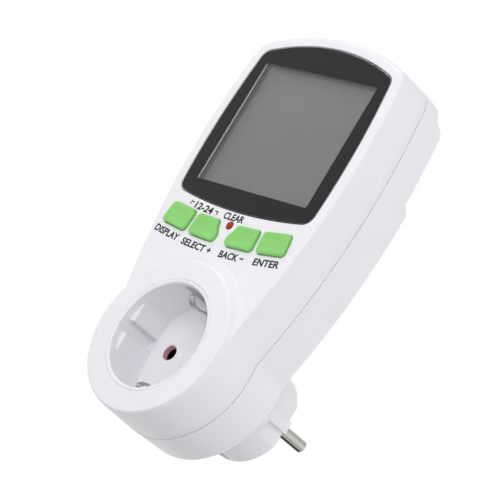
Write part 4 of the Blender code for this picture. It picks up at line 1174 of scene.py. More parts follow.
def back_edge(skin, front):
    """Rings of the cover's edge, from the parting plane over the rounded rim to the flat back."""
    rounds = np.array([rim_round(z) for _, z in HOUSING])
    ends = back_levels(HOUSING) - rounds
    leans = DRAFT * (ends - front)
    rings = seam_rings(skin, front, 1)
    for i in range(WALL_STEPS + 1):
        depths = front + SEAM_ROUND + (ends - front - SEAM_ROUND) * i / WALL_STEPS
        rings.append(skin.ring(inset_points(DRAFT * (depths - front)), depths))
    for i in range(1, ROUND_STEPS + 1):
        turn = math.pi / 2 * i / ROUND_STEPS
        loop = inset_points(leans + rounds * (1 - math.cos(turn)))
        rings.append(skin.ring(loop, back_levels(loop) - rounds * (1 - math.sin(turn))))
    for insets in (leans + rounds + GUARD, BACK_INSET):
        loop = inset_points(insets)
        rings.append(skin.ring(loop, back_levels(loop)))
    return rings


def collar(skin):
    """Rings from the flat back over the collar and down into the plug's hole."""
    bore = PLUG_RADIUS + CLEARANCE
    outside = bore + COLLAR_WIDTH
    top = BACK_LOWER + COLLAR_HEIGHT
    half = COLLAR_ROUND / 2
    foot = (outside + COLLAR_ROUND, BACK_LOWER + COLLAR_ROUND)
    crest = (outside - COLLAR_ROUND, top - COLLAR_ROUND)
    section = [(foot[0] + GUARD, BACK_LOWER)]
    section += arc(foot, COLLAR_ROUND, -math.pi / 2, -math.pi, LIP_STEPS)
    section += arc(crest, COLLAR_ROUND, 0.0, math.pi / 2, LIP_STEPS)
    section += arc((bore + half, top - half), half, math.pi / 2, math.pi, LIP_STEPS)
    section.append((bore, BACK_LOWER - WALL))
    return [skin.ring(circle(0.0, 0.0, radius, PLUG_HOLE_SIDES), depth) for radius, depth in section]


print("the collar stands", COLLAR_HEIGHT, "m proud")

# %% [markdown]
# Each case screw sits deep in a column of the cover. Two of the wells break through the rounded rim, so they
# can't be rings of the skin and are carved into the finished cover: a column is added, then a flared well
# and a hole for the shank are taken out.

# %% Screw wells
HEAD_RADIUS = 0.0023
UPPER_SCREW = (0.0220, 0.1136)
LOWER_SCREW = (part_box("case_screw_4")[1].x - HEAD_RADIUS, 0.0205)
CASE_SCREWS = [(side * x, z) for x, z in (UPPER_SCREW, LOWER_SCREW) for side in (-1, 1)]
SCREW_WELL = 0.0026
SCREW_SEAT = 0.0224
SCREW_HOLE = 0.0015
SCREW_FLARE = 0.0012
SCREW_OVER = 0.0009


def screw_well(shell, x, z, front):
    """The cover with a column round one screw, a flared well from behind and a hole for the shank."""
    level = back_depth(z)
    shell = fuse(shell, rod(x, z, SCREW_WELL + WALL / 2, front, level - WALL / 2, SMALL_SIDES))
    well = turned(x, z, [
        (0.0, SCREW_SEAT),
        (SCREW_WELL, SCREW_SEAT),
        (SCREW_WELL, level - CLEARANCE),
        (SCREW_WELL + SCREW_FLARE, level + SCREW_OVER),
        (0.0, level + SCREW_OVER),
    ])
    return cut(shell, well, rod(x, z, SCREW_HOLE, front - LAP, SCREW_SEAT + LAP, SMALL_SIDES))


print("case screws", len(CASE_SCREWS))

# %% [markdown]
# The cover is closed like the front shell, with level rows of extra points over the two steps of its back,
# and then the four wells are carved.

# %% Back cover
STEP_BEFORE = 1.1 * BACK_ROUND
STEP_AFTER = 1.5 * STEP_FOOT
STEP_ROWS = 24


def step_points(loop):
    """Points in level rows over the two steps of the back."""
    rows = []
    for height in (BACK_STEP_Z, CROWN_Z):
        rows += list(height + np.linspace(-STEP_BEFORE, STEP_AFTER, STEP_ROWS))
    across = np.arange(-HALF_WIDTH, HALF_WIDTH, 2 * STEP_FOOT)
    points = np.array([(x, z) for z in rows for x in across])
    return points[inside(points, loop) & (distance_to(points, loop) > GUARD)]


def back_cover():
    skin = Skin()
    front = PARTING + SEAM / 2
    edge = back_edge(skin, front)
    skin.bands(edge)
    lap, lip_front = LAP + CLEARANCE, front - LAP_LENGTH + CLEARANCE
    section = ((lap, front), (lap, lip_front), (WALL, lip_front), (WALL, front))
    inner = [edge[0]] + [skin.ring(housing_loop(inset), depth) for inset, depth in section]
    wall = housing_loop(WALL + DRAFT * (BACK_CROWN - front))
    inner.append(skin.ring(wall, back_levels(wall) - WALL))
    skin.bands(inner)
    mouth, bore = skin.bands(collar(skin))
    skin.fill(edge[-1], [mouth], step_points(skin.flat(edge[-1])), lambda x, z: back_depth(z))
    skin.fill(inner[-1], [bore], step_points(wall), lambda x, z: back_depth(z) - WALL)
    shell = from_skin(skin)
    for x, z in CASE_SCREWS:
        shell = screw_well(shell, x, z, front)
    return finished(shell, "back_moulding", WHITE_ABS)


hand_over(back_cover(), "meter", "white_shell", "rear_shell")

# %% [markdown]
# The window is one clear moulded plate with a glossy black frame printed round its front. Behind it, in the
# opening of the face, a dark foam gasket keeps dust off the display. Its inner edge reaches a little past the
# opening, and that dark rim is painted shade: it stands for the thin shadow along the display's edge. Then
# comes the display itself with its grey film. The clear plate casts no shadow, so the lamps reach the display
# through it.

# %% Window and display
LENS_ROUND = 0.0003
PRINT_DEPTH = 0.00008
PRINT_INSET = 0.0003
GASKET_FRONT = 0.0047
GASKET_STEP = 0.0001
# how far the dark gasket reaches past the opening: a rim of painted shade along the display's edge
GASKET_SHADE_REACH = 0.0004
GLASS_FRONT, GLASS_BACK = depths_of("display_glass")
GLASS_WIDTH = 2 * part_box("display_glass")[1].x
GLASS_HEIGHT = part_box("display_glass")[1].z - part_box("display_glass")[0].z
GLASS_ROUND = 0.0002


def plate(loop_at, front, back, radius):
    """A closed skin of a plate with rounded edges; loop_at gives its outline at an inset."""
    skin = Skin()
    over = lip(skin, loop_at, front, radius)
    under = lip(skin, loop_at, back, radius, towards=-1)
    skin.bands(over + under[::-1])
    skin.fill(over[0])
    skin.fill(under[0])
    return skin


def frame_plate(outer, inner, front, back):
    """A closed skin of a flat frame between two outlines."""
    skin = Skin()
    outside = [skin.ring(outer, depth) for depth in (front, back)]
    opening = [skin.ring(inner, depth) for depth in (front, back)]
    skin.bands(outside)
    skin.bands(opening)
    for rim, hole in zip(outside, opening):
        skin.fill(rim, [hole])
    return skin


def glass_loop(inset):
    """Outline of the display's glass."""
    return round_rectangle(0.0, WINDOW_Z, GLASS_WIDTH - 2 * inset, GLASS_HEIGHT - 2 * inset, WINDOW_CORNER)


def display():
    window = plate(lambda g: lens_loop(-g), LENS_FRONT + PRINT_DEPTH / 2, LENS_BACK, LENS_ROUND)
    lens = fixed_piece(window, "window", CLEAR_WINDOW, "lens_acrylic", "display_lens")
    lens.visible_shadow = False
    ink = frame_plate(lens_loop(-PRINT_INSET), window_loop(0.0), LENS_FRONT, LENS_FRONT + PRINT_DEPTH)
    fixed_piece(ink, "window_frame", WINDOW_PRINT, "black_plastic")
    outside = window_loop(WINDOW_LEDGE - GASKET_STEP, WINDOW_HEAD)
    shaded_gasket = frame_plate(outside, window_loop(-GASKET_SHADE_REACH), GASKET_FRONT, GLASS_FRONT - GASKET_STEP / 2)
    fixed_piece(shaded_gasket, "window_gasket", GASKET_AND_SHADE, "grey_rubber")
    glass = plate(glass_loop, GLASS_FRONT, GLASS_BACK, GLASS_ROUND)
    fixed_piece(glass, "display_film", POLARISER, "display_glass", "display_glass")


display()

# %% [markdown]
# The keys are silicone caps moulded with a soft rim and a shallow dish that finds the fingertip. Each is a
# closed skin: dished top, rounded rim, wall, the flange that keeps it behind the face, and the stem that
# reaches for the board. The depth of the dish is a rule of the distance from the key's outline, so it
# follows the bite of the inner keys too.

# %% Keys
KEY_FRONT, KEY_BACK = depths_of("mode_button")
KEY_ROUND = 0.0005
KEY_ROUND_STEPS = 8
KEY_DISH = 0.0003
KEY_DISH_RUN = 0.0022
KEY_GRID = 0.0004
KEY_FLANGE = 0.0007
KEY_FLANGE_DEPTH = 0.0010
FLANGE_FRONT = INNER_FACE + CLEARANCE
FLANGE_BACK = FLANGE_FRONT + KEY_FLANGE_DEPTH
STEM_WIDTH = 0.0062
STEM_HEIGHT = 0.0046
SOFT_TURN = 40.0


def dish_points(loop):
    """A grid of points over a key's top, and the depth of the dish at each."""
    low, high = np.min(loop, axis=0), np.max(loop, axis=0)
    rows = np.arange(low[1], high[1], KEY_GRID)
    points = np.array([(x, z) for z in rows for x in np.arange(low[0], high[0], KEY_GRID)])
    points = points[inside(points, loop) & (distance_to(points, loop) > KEY_ROUND + 2 * GUARD)]
    share = np.clip((distance_to(points, loop) - KEY_ROUND - GUARD) / KEY_DISH_RUN, 0.0, 1.0)
    depths = KEY_FRONT + KEY_DISH * eased(share)
    return points, dict(zip(map(tuple, points), depths))


def key_cap(node):
    loop = KEY_LOOPS[node]
    skin = Skin()
    rings = lip(skin, lambda g: offset_loop(loop, -g), KEY_FRONT, KEY_ROUND, KEY_ROUND_STEPS)
    rings.append(skin.ring(loop, FLANGE_FRONT))
    rings += [skin.ring(offset_loop(loop, KEY_FLANGE), depth) for depth in (FLANGE_FRONT, FLANGE_BACK)]
    top, foot = skin.bands(rings)
    points, depths = dish_points(loop)
    skin.fill(top, extra=points, depth_at=lambda x, z: depths[(x, z)])
    x, z = bent([(sum(KEY_SPANS[node]) / 2, 0.0)])[0]
    stem = round_rectangle(x, z, STEM_WIDTH, STEM_HEIGHT, CLEARANCE)
    root, tip = skin.bands([skin.ring(stem, depth) for depth in (FLANGE_BACK, KEY_BACK)])
    skin.fill(foot, [root])
    skin.fill(tip)
    cap = finished(from_skin(skin), node.replace("button", "cap"), GREEN_SILICONE, SOFT_TURN)
    hand_over(cap, node.replace("button", "key"), "green_key", node)


for key_node in KEY_SPANS:
    key_cap(key_node)

# %% [markdown]
# The reset key is a small plunger of red plastic with a domed top. It is round, so it is turned, and like
# the other keys it has a flange behind the face.

# %% Reset key
RESET_FRONT, RESET_BACK = depths_of("reset_button")
RESET_DOME = 0.0005
RESET_FLANGE = 0.0008
RESET_SIDES = 40
DOME_STEPS = 10


def dome(radius, level, height):
    """Points of a dome from its top, on the axis, out to its foot; a height below 0 points backwards."""
    turns = [math.pi / 2 * i / DOME_STEPS for i in range(DOME_STEPS + 1)]
    return [(radius * math.sin(t), level - height * math.cos(t)) for t in turns]


def reset_plunger():
    profile = dome(RESET_RADIUS, RESET_FRONT + RESET_DOME, RESET_DOME)
    wide = RESET_RADIUS + RESET_FLANGE
    profile += [(RESET_RADIUS, FLANGE_FRONT), (wide, FLANGE_FRONT), (wide, FLANGE_BACK)]
    profile += [(RESET_RADIUS, FLANGE_BACK), (RESET_RADIUS, RESET_BACK), (0.0, RESET_BACK)]
    plunger = finished(turned(0.0, RESET_Z, profile, RESET_SIDES), "reset_plunger", RED_PLUNGER, SOFT_TURN)
    hand_over(plunger, "reset_key", "red_key", "reset_button")


reset_plunger()

# %% [markdown]
# The socket's well is a separate insert that drops into the front shell, turned on the lathe like a cup with
# a rounded mouth. A faint ring on its floor is the mark that the moulding's gate leaves.

# %% Section of the socket well
WELL_RADIUS = 0.01975
WELL_DEPTH = 0.0175
WELL_FLOOR = 0.0027
WELL_FILLET = 0.0006
MOUTH_ROUND = 0.0007
GATE_RADIUS = 0.0037
GATE_GROOVE = 0.00022
FILLET_STEPS = 6
MOUTH_STEPS = 8
INSERT_FLANGE = 0.0029
INSERT_FLANGE_DEPTH = 0.0024
INSERT_FLANGE_BACK = FLANGE_FRONT + INSERT_FLANGE_DEPTH
INSERT_BACK = WELL_DEPTH + WELL_FLOOR


def well_profile():
    """Half a section of the insert, from the middle of its floor over the mouth and round the outside."""
    groove = WELL_DEPTH + GATE_GROOVE
    profile = [(0.0, WELL_DEPTH), (GATE_RADIUS - 2 * GATE_GROOVE, WELL_DEPTH)]
    profile += [(GATE_RADIUS - GATE_GROOVE, groove), (GATE_RADIUS, groove)]
    profile.append((GATE_RADIUS + GATE_GROOVE, WELL_DEPTH))
    corner = (WELL_RADIUS - WELL_FILLET, WELL_DEPTH - WELL_FILLET)
    profile.append((corner[0] - GUARD, WELL_DEPTH))
    profile += arc(corner, WELL_FILLET, math.pi / 2, 0.0, FILLET_STEPS)
    mouth = (WELL_RADIUS + MOUTH_ROUND, MOUTH_ROUND)
    profile += arc(mouth, MOUTH_ROUND, math.pi, 3 * math.pi / 2, MOUTH_STEPS)
    brim = (INSERT_RADIUS - INSERT_LIP, INSERT_LIP)
    profile += arc(brim, INSERT_LIP, -math.pi / 2, 0.0, LIP_STEPS)
    wide = INSERT_RADIUS + INSERT_FLANGE
    profile += [(INSERT_RADIUS, FLANGE_FRONT), (wide, FLANGE_FRONT), (wide, INSERT_FLANGE_BACK)]
    return profile + [(INSERT_RADIUS, INSERT_FLANGE_BACK), (INSERT_RADIUS, INSERT_BACK), (0.0, INSERT_BACK)]


print("the well's section has", len(well_profile()), "points")

# %% [markdown]
# Guide pads in the well lead the next plug in by its side flats. There are two on each side, with a slot
# between them, and each is a rounded block that is trimmed to the well's wall. Rounding the block first
# gives the pad its soft ends.

# %% Guide pads
INSERT_WALL = INSERT_RADIUS - WELL_RADIUS
GUIDE_FLAT = 0.0172
GUIDE_SLOT = 0.0047
GUIDE_START = 0.0033
GUIDE_ROUND = 0.0003


def guide_pad(side, half):
    """One of the four pads that guide a plug, fitted to the round of the well."""
    width = WELL_RADIUS - GUIDE_FLAT + INSERT_WALL
    height = (2 * WELL_RADIUS - GUIDE_SLOT) / 2
    x = side * (GUIDE_FLAT + width / 2)
    z = half * (GUIDE_SLOT + height) / 2
    pad = block(x, z, width, height, GUIDE_START, INSERT_BACK - CLEARANCE, GUIDE_ROUND)
    return shared(pad, rod(0.0, 0.0, WELL_RADIUS + INSERT_WALL / 2, 0.0, INSERT_BACK, WIDE_SIDES))


print("the guide pads leave", 2 * GUIDE_FLAT, "m between them")

# %% [markdown]
# The cup is then worked on: the pads are added, and slots for the earth clips and countersunk pin holes are
# cut. Each is one tool, so the order of the cuts is easy to follow.

# %% Socket well
EARTH_SLOT_WIDTH = 0.0070
EARTH_SLOT_START = 0.0022
CLIP_WIDTH = 0.0045
CLIP_ARM_Z = 0.0167
STRIP = 0.0006
PIN_X = 0.0095
PIN_HOLE_RADIUS = 0.0029
PIN_HOLE_SINK = 0.0004


def well_tools(side):
    """What is cut on one side: the earth clip's slot, the hole for its arm and a countersunk pin hole."""
    before, beyond = WELL_DEPTH - CLEARANCE, INSERT_BACK + CLEARANCE
    height = 2 * INSERT_WALL
    slot_z = side * (WELL_RADIUS + INSERT_WALL - CLEARANCE - height / 2)
    slot = block(0.0, slot_z, EARTH_SLOT_WIDTH, height, EARTH_SLOT_START, WELL_DEPTH)
    arm_width, arm_height = CLIP_WIDTH + 2 * CLEARANCE, STRIP + 2 * CLEARANCE
    arm = block(0.0, side * CLIP_ARM_Z, arm_width, arm_height, WELL_DEPTH - STRIP, beyond)
    hole = turned(side * PIN_X, 0.0, [
        (0.0, before),
        (PIN_HOLE_RADIUS + PIN_HOLE_SINK + CLEARANCE, before),
        (PIN_HOLE_RADIUS, WELL_DEPTH + PIN_HOLE_SINK),
        (PIN_HOLE_RADIUS, beyond),
        (0.0, beyond),
    ])
    return slot, arm, hole


def socket_well():
    well = turned(0.0, 0.0, well_profile(), WIDE_SIDES)
    for side in (-1, 1):
        for half in (-1, 1):
            well = fuse(well, guide_pad(side, half))
        well = cut(well, *well_tools(side))
    return finished(well, "socket_well", WHITE_ABS)


hand_over(socket_well(), "meter", "white_shell", "socket_insert")

# %% [markdown]
# A thin tube lines each pin hole and shows as a mauve ring. The mauve is painted reflected light: it stands
# for the coppery light that the contacts behind throw on the hole's wall. It is a short tube, turned from a
# small section. A ring painted on the well's floor would look flat from the side.

# %% Pin linings with a painted reflection
LINING_WALL = 0.00012


def bounce_lining(name, side):
    """A thin tube that lines a pin hole, in the mauve of a painted reflection from the coppery contacts."""
    inner = PIN_HOLE_RADIUS - LINING_WALL
    profile = [(inner, WELL_DEPTH + PIN_HOLE_SINK), (PIN_HOLE_RADIUS, WELL_DEPTH + PIN_HOLE_SINK)]
    profile += [(PIN_HOLE_RADIUS, INSERT_BACK), (inner, INSERT_BACK), profile[0]]
    return finished(turned(side * PIN_X, 0.0, profile), name, PAINTED_BOUNCE)


for lining_name, lining_side in (("pin_bush_left", -1), ("pin_bush_right", 1)):
    hand_over(bounce_lining(lining_name, lining_side), "meter", "black_plastic")

# %% [markdown]
# The earth contacts are bent from sheet. A strip is drawn as a path in the plane of depth and height whose
# corners are rounded to the bend radius of the press tool, and swept with a small rectangle whose edges the
# tumbling drum has softened.

# %% Bent strips
BEND_REACH = 0.0018
BEND_STEPS = 6
STRIP_EDGE = 0.00015
STRIP_EDGE_STEPS = 3
STRIP_STEP = STRIP / 3


def rounded_path(points, reach):
    """A path whose corners become curves that begin and end a reach away, or half way if that is nearer."""
    result = [np.array(points[0])]
    for a, b, c in zip(points, points[1:], points[2:]):
        a, b, c = np.array(a), np.array(b), np.array(c)
        before = b + (a - b) * min(0.5, reach / math.dist(a, b))
        after = b + (c - b) * min(0.5, reach / math.dist(b, c))
        for t in np.linspace(0.0, 1.0, BEND_STEPS + 1):
            result.append((1 - t) ** 2 * before + 2 * t * (1 - t) * b + t**2 * after)
    return result + [np.array(points[-1])]


def strip(name, path, material, share_at=None):
    """Sweep the strip's section along a (depth, z) path; share_at gives the width near the ends."""
    path = np.array(rounded_path(path, BEND_REACH))
    runs = np.concatenate([[0.0], np.cumsum(np.hypot(*np.diff(path, axis=0).T))])
    places = np.arange(0.0, runs[-1], STRIP_STEP)
    places = np.append(places[places < runs[-1] - GUARD], runs[-1])
    path = np.stack([np.interp(places, runs, path[:, axis]) for axis in (0, 1)], axis=1)
    along = np.gradient(path, axis=0)
    along /= np.hypot(*along.T)[:, None]
    section = round_rectangle(0.0, 0.0, CLIP_WIDTH, STRIP, STRIP_EDGE, STRIP_EDGE_STEPS)
    skin = Skin()
    rings = []
    for (depth, z), (run, rise), place in zip(path, along, places):
        share = share_at(min(place, runs[-1] - place)) if share_at else 1.0
        loop = [(x * share, z + offset * run) for x, offset in section]
        rings.append(skin.ring(loop, [depth - offset * rise for _, offset in section]))
    skin.bands(rings)
    skin.faces += [tuple(rings[0]), tuple(rings[-1])]
    return finished(from_skin(skin), name, material)


def both_arms(arm):
    """The path of a strip with two like arms, one below and one above."""
    return [(depth, -z) for depth, z in reversed(arm)] + arm


print("a strip has a section every", STRIP_STEP, "m")

# %% [markdown]
# The socket's earth clip reaches into the well with a narrow tongue at each end, bent inwards to meet the
# plug and hooked at the tip. The plug's spring lies flat in its two channels with a slight bulge. Both are
# alike above and below, so each is drawn as one arm and its mirror image.

# %% Earth contacts
CLIP_BEND = (0.0074, 0.0149)
CLIP_TIP = (0.0044, 0.0175)
CLIP_HOOK = (0.0048, 0.0181)
TONGUE_WIDTH = 0.0028
TONGUE_LENGTH = 0.0042
TONGUE_TAPER = 0.0010
PLUG_REACH = -MOUTH_Y
PLUG_LENGTH = PLUG_REACH - BACK_LOWER
PLUG_CLIP_HEIGHT = 0.0164
PLUG_CLIP_BULGE = 0.0008
CHANNEL_END = 0.0010


def tongue_share(reach):
    """Width of the strip, as a share, at a distance from its end: a round tip, a tongue, the full width."""
    radius = TONGUE_WIDTH / 2
    tip = math.sqrt(max(STRIP**2, radius**2 - max(0.0, radius - reach) ** 2)) / radius
    widening = min(1.0, max(0.0, (reach - TONGUE_LENGTH) / TONGUE_TAPER))
    return tip * (TONGUE_WIDTH + widening * (CLIP_WIDTH - TONGUE_WIDTH)) / CLIP_WIDTH


def earth_contacts():
    bridge = INSERT_BACK + CLEARANCE + STRIP / 2
    socket_arm = [
        (bridge, CLIP_ARM_Z - STRIP),
        (bridge - STRIP, CLIP_ARM_Z),
        (WELL_DEPTH - STRIP, CLIP_ARM_Z),
        CLIP_BEND,
        CLIP_TIP,
        CLIP_HOOK,
    ]
    clip = strip("earth_clip", both_arms(socket_arm), SPRING_NICKEL, tongue_share)
    hand_over(clip, "meter", "nickel_plate", "earth_bracket")
    foot = depths_of("plug_earth_bracket")[0] + STRIP / 2
    middle = PLUG_REACH - PLUG_LENGTH / 3
    plug_arm = [
        (foot, PLUG_CLIP_HEIGHT),
        (middle - PLUG_LENGTH / 4, PLUG_CLIP_HEIGHT),
        (middle, PLUG_CLIP_HEIGHT + PLUG_CLIP_BULGE),
        (PLUG_REACH - 2 * CHANNEL_END, PLUG_CLIP_HEIGHT),
    ]
    spring = strip("plug_earth_spring", both_arms(plug_arm), BRIGHT_NICKEL)
    hand_over(spring, "meter", "nickel_plate", "plug_earth_bracket")


earth_contacts()

# %% [markdown]
# The plug is turned too, with a rounded rim, and then gets its two side flats, the rib that stands between
# the halves of each flat, the channels of the earth springs and the bores of the pins.

# %% Plug
PLUG_ROUND = 0.0005
PLUG_FLANGE = 0.0030
PLUG_FLANGE_DEPTH = 0.0020
PLUG_FLANGE_BACK = BACK_LOWER - WALL - CLEARANCE
PLUG_FLANGE_FRONT = PLUG_FLANGE_BACK - PLUG_FLANGE_DEPTH
PLUG_FLAT = 0.0163
PLUG_FLAT_LENGTH = 0.0105
PLUG_RIB = 0.0041
PIN_RADIUS = 0.0024


def plug_moulding():
    wide = PLUG_RADIUS + PLUG_FLANGE
    profile = [(0.0, PLUG_FLANGE_FRONT), (wide, PLUG_FLANGE_FRONT), (wide, PLUG_FLANGE_BACK)]
    profile.append((PLUG_RADIUS, PLUG_FLANGE_BACK))
    rim = (PLUG_RADIUS - PLUG_ROUND, PLUG_REACH - PLUG_ROUND)
    profile += arc(rim, PLUG_ROUND, 0.0, math.pi / 2, FILLET_STEPS)
    profile.append((0.0, PLUG_REACH))
    plug = turned(0.0, 0.0, profile, WIDE_SIDES)
    beyond = PLUG_REACH + CLEARANCE
    flat_width = PLUG_RADIUS - PLUG_FLAT + CLEARANCE
    flat_height = PLUG_RADIUS - PLUG_RIB / 2
    floor = PLUG_CLIP_HEIGHT - STRIP / 2 - CLEARANCE
    for side in (-1, 1):
        flat_x = side * (PLUG_FLAT + flat_width / 2)
        for half in (-1, 1):
            flat_z = half * (PLUG_RIB + flat_height) / 2
            flat = block(flat_x, flat_z, flat_width, flat_height, PLUG_REACH - PLUG_FLAT_LENGTH, beyond)
            plug = cut(plug, flat)
        channel_z = side * (floor + wide) / 2
        channel = block(
            0.0, channel_z, CLIP_WIDTH + 2 * CLEARANCE, wide - floor + CLEARANCE,
            PLUG_FLANGE_FRONT - CLEARANCE, PLUG_REACH - CHANNEL_END,
        )
        bore = rod(side * PIN_X, 0.0, PIN_RADIUS + CLEARANCE, PLUG_FLANGE_FRONT - CLEARANCE, beyond)
        plug = cut(plug, channel, bore)
    return finished(plug, "plug_moulding", WHITE_ABS)


hand_over(plug_moulding(), "meter", "white_shell", "plug_body")

# %% [markdown]
# The pins are turned from bar, with domed tips and a plated finish.

# %% Pins
PIN_FOOT, PIN_TIP = depths_of("plug_pin_left")
PIN_DOME = PIN_RADIUS / 3


def plug_pin(name, side):
    profile = [(0.0, PIN_FOOT), (PIN_RADIUS, PIN_FOOT)]
    profile += reversed(dome(PIN_RADIUS, PIN_TIP - PIN_DOME, -PIN_DOME))
    return finished(turned(side * PIN_X, 0.0, profile), name, NICKEL, SOFT_TURN)


for pin_name, pin_side in (("left", -1), ("right", 1)):
    pin = plug_pin(f"pin_{pin_name}", pin_side)
    hand_over(pin, "meter", "nickel_plate", f"plug_pin_{pin_name}")

# %% [markdown]
# A printed corner stands at each side of the small pair of numbers above the keys. It is a plain outline,
# bent along their row, and stands as proud of the face as a layer of ink does.

# %% Printed corners
INK_DEPTH = 0.00003
STROKES = {"corner_left": (-0.0240, 1), "corner_right": (-0.0086, -1)}
STROKE_V = 0.0070
STROKE = 0.00045
STROKE_RUN = 0.0017
STROKE_DROP = 0.0015


def corner_stroke(name, u, side):
    """A printed corner: a level stroke towards the legend and one down to the key."""
    long, thin = side * STROKE_RUN, side * STROKE
    outline = [(0.0, 0.0), (long, 0.0), (long, -STROKE), (thin, -STROKE)]
    outline += [(thin, -STROKE_DROP), (0.0, -STROKE_DROP)]
    loop = bent([(u + a, STROKE_V + b) for a, b in outline])
    skin = Skin()
    rings = [skin.ring(loop, FACE + sign * INK_DEPTH) for sign in (-1, 1)]
    skin.bands(rings)
    skin.faces += [tuple(rings[0]), tuple(rings[1])]
    fixed_piece(skin, name, LEGEND_INK, "black_plastic")


for stroke_name, stroke in STROKES.items():
    corner_stroke(stroke_name, *stroke)

# %% [markdown]
# Small black legends are printed round the keys. They are plain words, signs and numbers for what such keys
# do. The built-in letters are drawn as text, narrowed, thickened, made into a mesh and bent along the row
# too. A picture of the words would look coarse from near by.

# %% Printed legends
CAP_HEIGHT = 0.0027
LETTER_WEIGHT = 0.032
LETTER_CURVES = 4
LETTER_WELD = 1e-5
LEGENDS = {
    "legend_mode": ("DISPLAY", -0.02485, -0.0071, 0.0128),
    "legend_up": ("SELECT +", -0.0088, -0.0072, 0.0148),
    "legend_down": ("BACK −", 0.00845, -0.0071, 0.0113),
    "legend_set": ("ENTER", 0.0242, -0.0071, 0.0112),
    "legend_pair": ("12-24", -0.0162, 0.0063, 0.0098),
    "legend_reset": ("CLEAR", 0.0, 0.0066, 0.0102),
}


def lettering(name, words, u, v, width):
    """A word of a given width, centred at (u, v) on the bent row."""
    text = bpy.data.curves.new(name, "FONT")
    text.body = words
    text.align_x = "CENTER"
    text.align_y = "CENTER"
    text.offset = LETTER_WEIGHT
    text.resolution_u = LETTER_CURVES
    drawn = new_object(name, text)
    mesh = shown_mesh(drawn)
    bpy.data.objects.remove(drawn, do_unlink=True)
    bpy.data.curves.remove(text)
    bm = bmesh.new()
    bm.from_mesh(mesh)
    bmesh.ops.remove_doubles(bm, verts=bm.verts, dist=LETTER_WELD)
    flat = np.array([vert.co for vert in bm.verts])
    low, high = flat.min(axis=0), flat.max(axis=0)
    for vert in bm.verts:
        across = (vert.co.x - (low[0] + high[0]) / 2) * width / (high[0] - low[0])
        up = (vert.co.y - (low[1] + high[1]) / 2) * CAP_HEIGHT / (high[1] - low[1])
        x, z = bent([(u + across, v + up)])[0]
        vert.co = (x, FACE - INK_DEPTH + MOUTH_Y, z)
    grown = bmesh.ops.extrude_face_region(bm, geom=bm.faces[:])
    back = [item for item in grown["geom"] if isinstance(item, bmesh.types.BMVert)]
    bmesh.ops.translate(bm, verts=back, vec=(0.0, 2 * INK_DEPTH, 0.0))
    bmesh.ops.recalc_face_normals(bm, faces=bm.faces)
    bm.to_mesh(mesh)
    bm.free()
    return add_piece(name, mesh, LEGEND_INK)


for legend_name, legend in LEGENDS.items():
    hand_over(lettering(legend_name, *legend), "meter", "black_plastic")
print("legends", len(LEGENDS))

# %% [markdown]
# Four screws hold the shells together from behind. One is turned with its rounded head, and a cross recess
# is pressed into it by two blocks.

# %% One case screw
HEAD_HEIGHT = 0.0018
HEAD_ROUND = 0.0009
HEAD_STEPS = 8
SHANK_RADIUS = 0.0012
SHANK_POINT = 0.0016
RECESS_WIDTH = 0.0007
RECESS_LENGTH = 0.0028
RECESS_DEPTH = 0.0010
SCREW_TIP, SCREW_TOP = depths_of("case_screw_1")


def one_screw():
    """A screw on the depth axis, with its head behind."""
    seat = SCREW_TOP - HEAD_HEIGHT
    profile = [(0.0, SCREW_TIP), (SHANK_RADIUS / 3, SCREW_TIP), (SHANK_RADIUS, SCREW_TIP + SHANK_POINT)]
    profile += [(SHANK_RADIUS, seat), (HEAD_RADIUS, seat)]
    centre = (HEAD_RADIUS - HEAD_ROUND, SCREW_TOP - HEAD_ROUND)
    profile += arc(centre, HEAD_ROUND, 0.0, math.pi / 2, HEAD_STEPS)
    profile.append((0.0, SCREW_TOP))
    screw = turned(0.0, 0.0, profile, BORE_SIDES)
    floor, beyond = SCREW_TOP - RECESS_DEPTH, SCREW_TOP + CLEARANCE
    return cut(
        screw,
        block(0.0, 0.0, RECESS_WIDTH, RECESS_LENGTH, floor, beyond),
        block(0.0, 0.0, RECESS_LENGTH, RECESS_WIDTH, floor, beyond),
    )


print("a case screw is", round(SCREW_TOP - SCREW_TIP, 4), "m long")

# %% [markdown]
# A small node tree then sets a copy of the screw at each of the four places, each stopped at another turn, as
# a hand leaves them. Nodes suit this well: the places are points, and the tree deals out the turns.

# %% Four case screws
def screw_tree():
    """Nodes that set a copy of an object on every point, each with its own turn."""
    tree = bpy.data.node_groups.new("set_screws", "GeometryNodeTree")
    sockets = {}
    for name, kind in (("Geometry", "Geometry"), ("Screw", "Object"), ("Finish", "Material")):
        socket = tree.interface.new_socket(name, in_out="INPUT", socket_type=f"NodeSocket{kind}")
        sockets[name] = socket.identifier
    tree.interface.new_socket("Geometry", in_out="OUTPUT", socket_type="NodeSocketGeometry")
    given = tree.nodes.new("NodeGroupInput")
    result = tree.nodes.new("NodeGroupOutput")
    part = tree.nodes.new("GeometryNodeObjectInfo")
    turns = tree.nodes.new("FunctionNodeRandomValue")
    turns.data_type = "FLOAT_VECTOR"
    turns.inputs["Min"].default_value = (0.0, 0.0, 0.0)
    turns.inputs["Max"].default_value = (0.0, math.pi, 0.0)
    copies = tree.nodes.new("GeometryNodeInstanceOnPoints")
    real = tree.nodes.new("GeometryNodeRealizeInstances")
    dressed = tree.nodes.new("GeometryNodeSetMaterial")
    tree.links.new(given.outputs["Screw"], part.inputs["Object"])
    tree.links.new(given.outputs["Geometry"], copies.inputs["Points"])
    tree.links.new(part.outputs["Geometry"], copies.inputs["Instance"])
    tree.links.new(turns.outputs["Value"], copies.inputs["Rotation"])
    tree.links.new(copies.outputs["Instances"], real.inputs["Geometry"])
    tree.links.new(real.outputs["Geometry"], dressed.inputs["Geometry"])
    tree.links.new(given.outputs["Finish"], dressed.inputs["Material"])
    tree.links.new(dressed.outputs["Geometry"], result.inputs["Geometry"])
    return tree, sockets


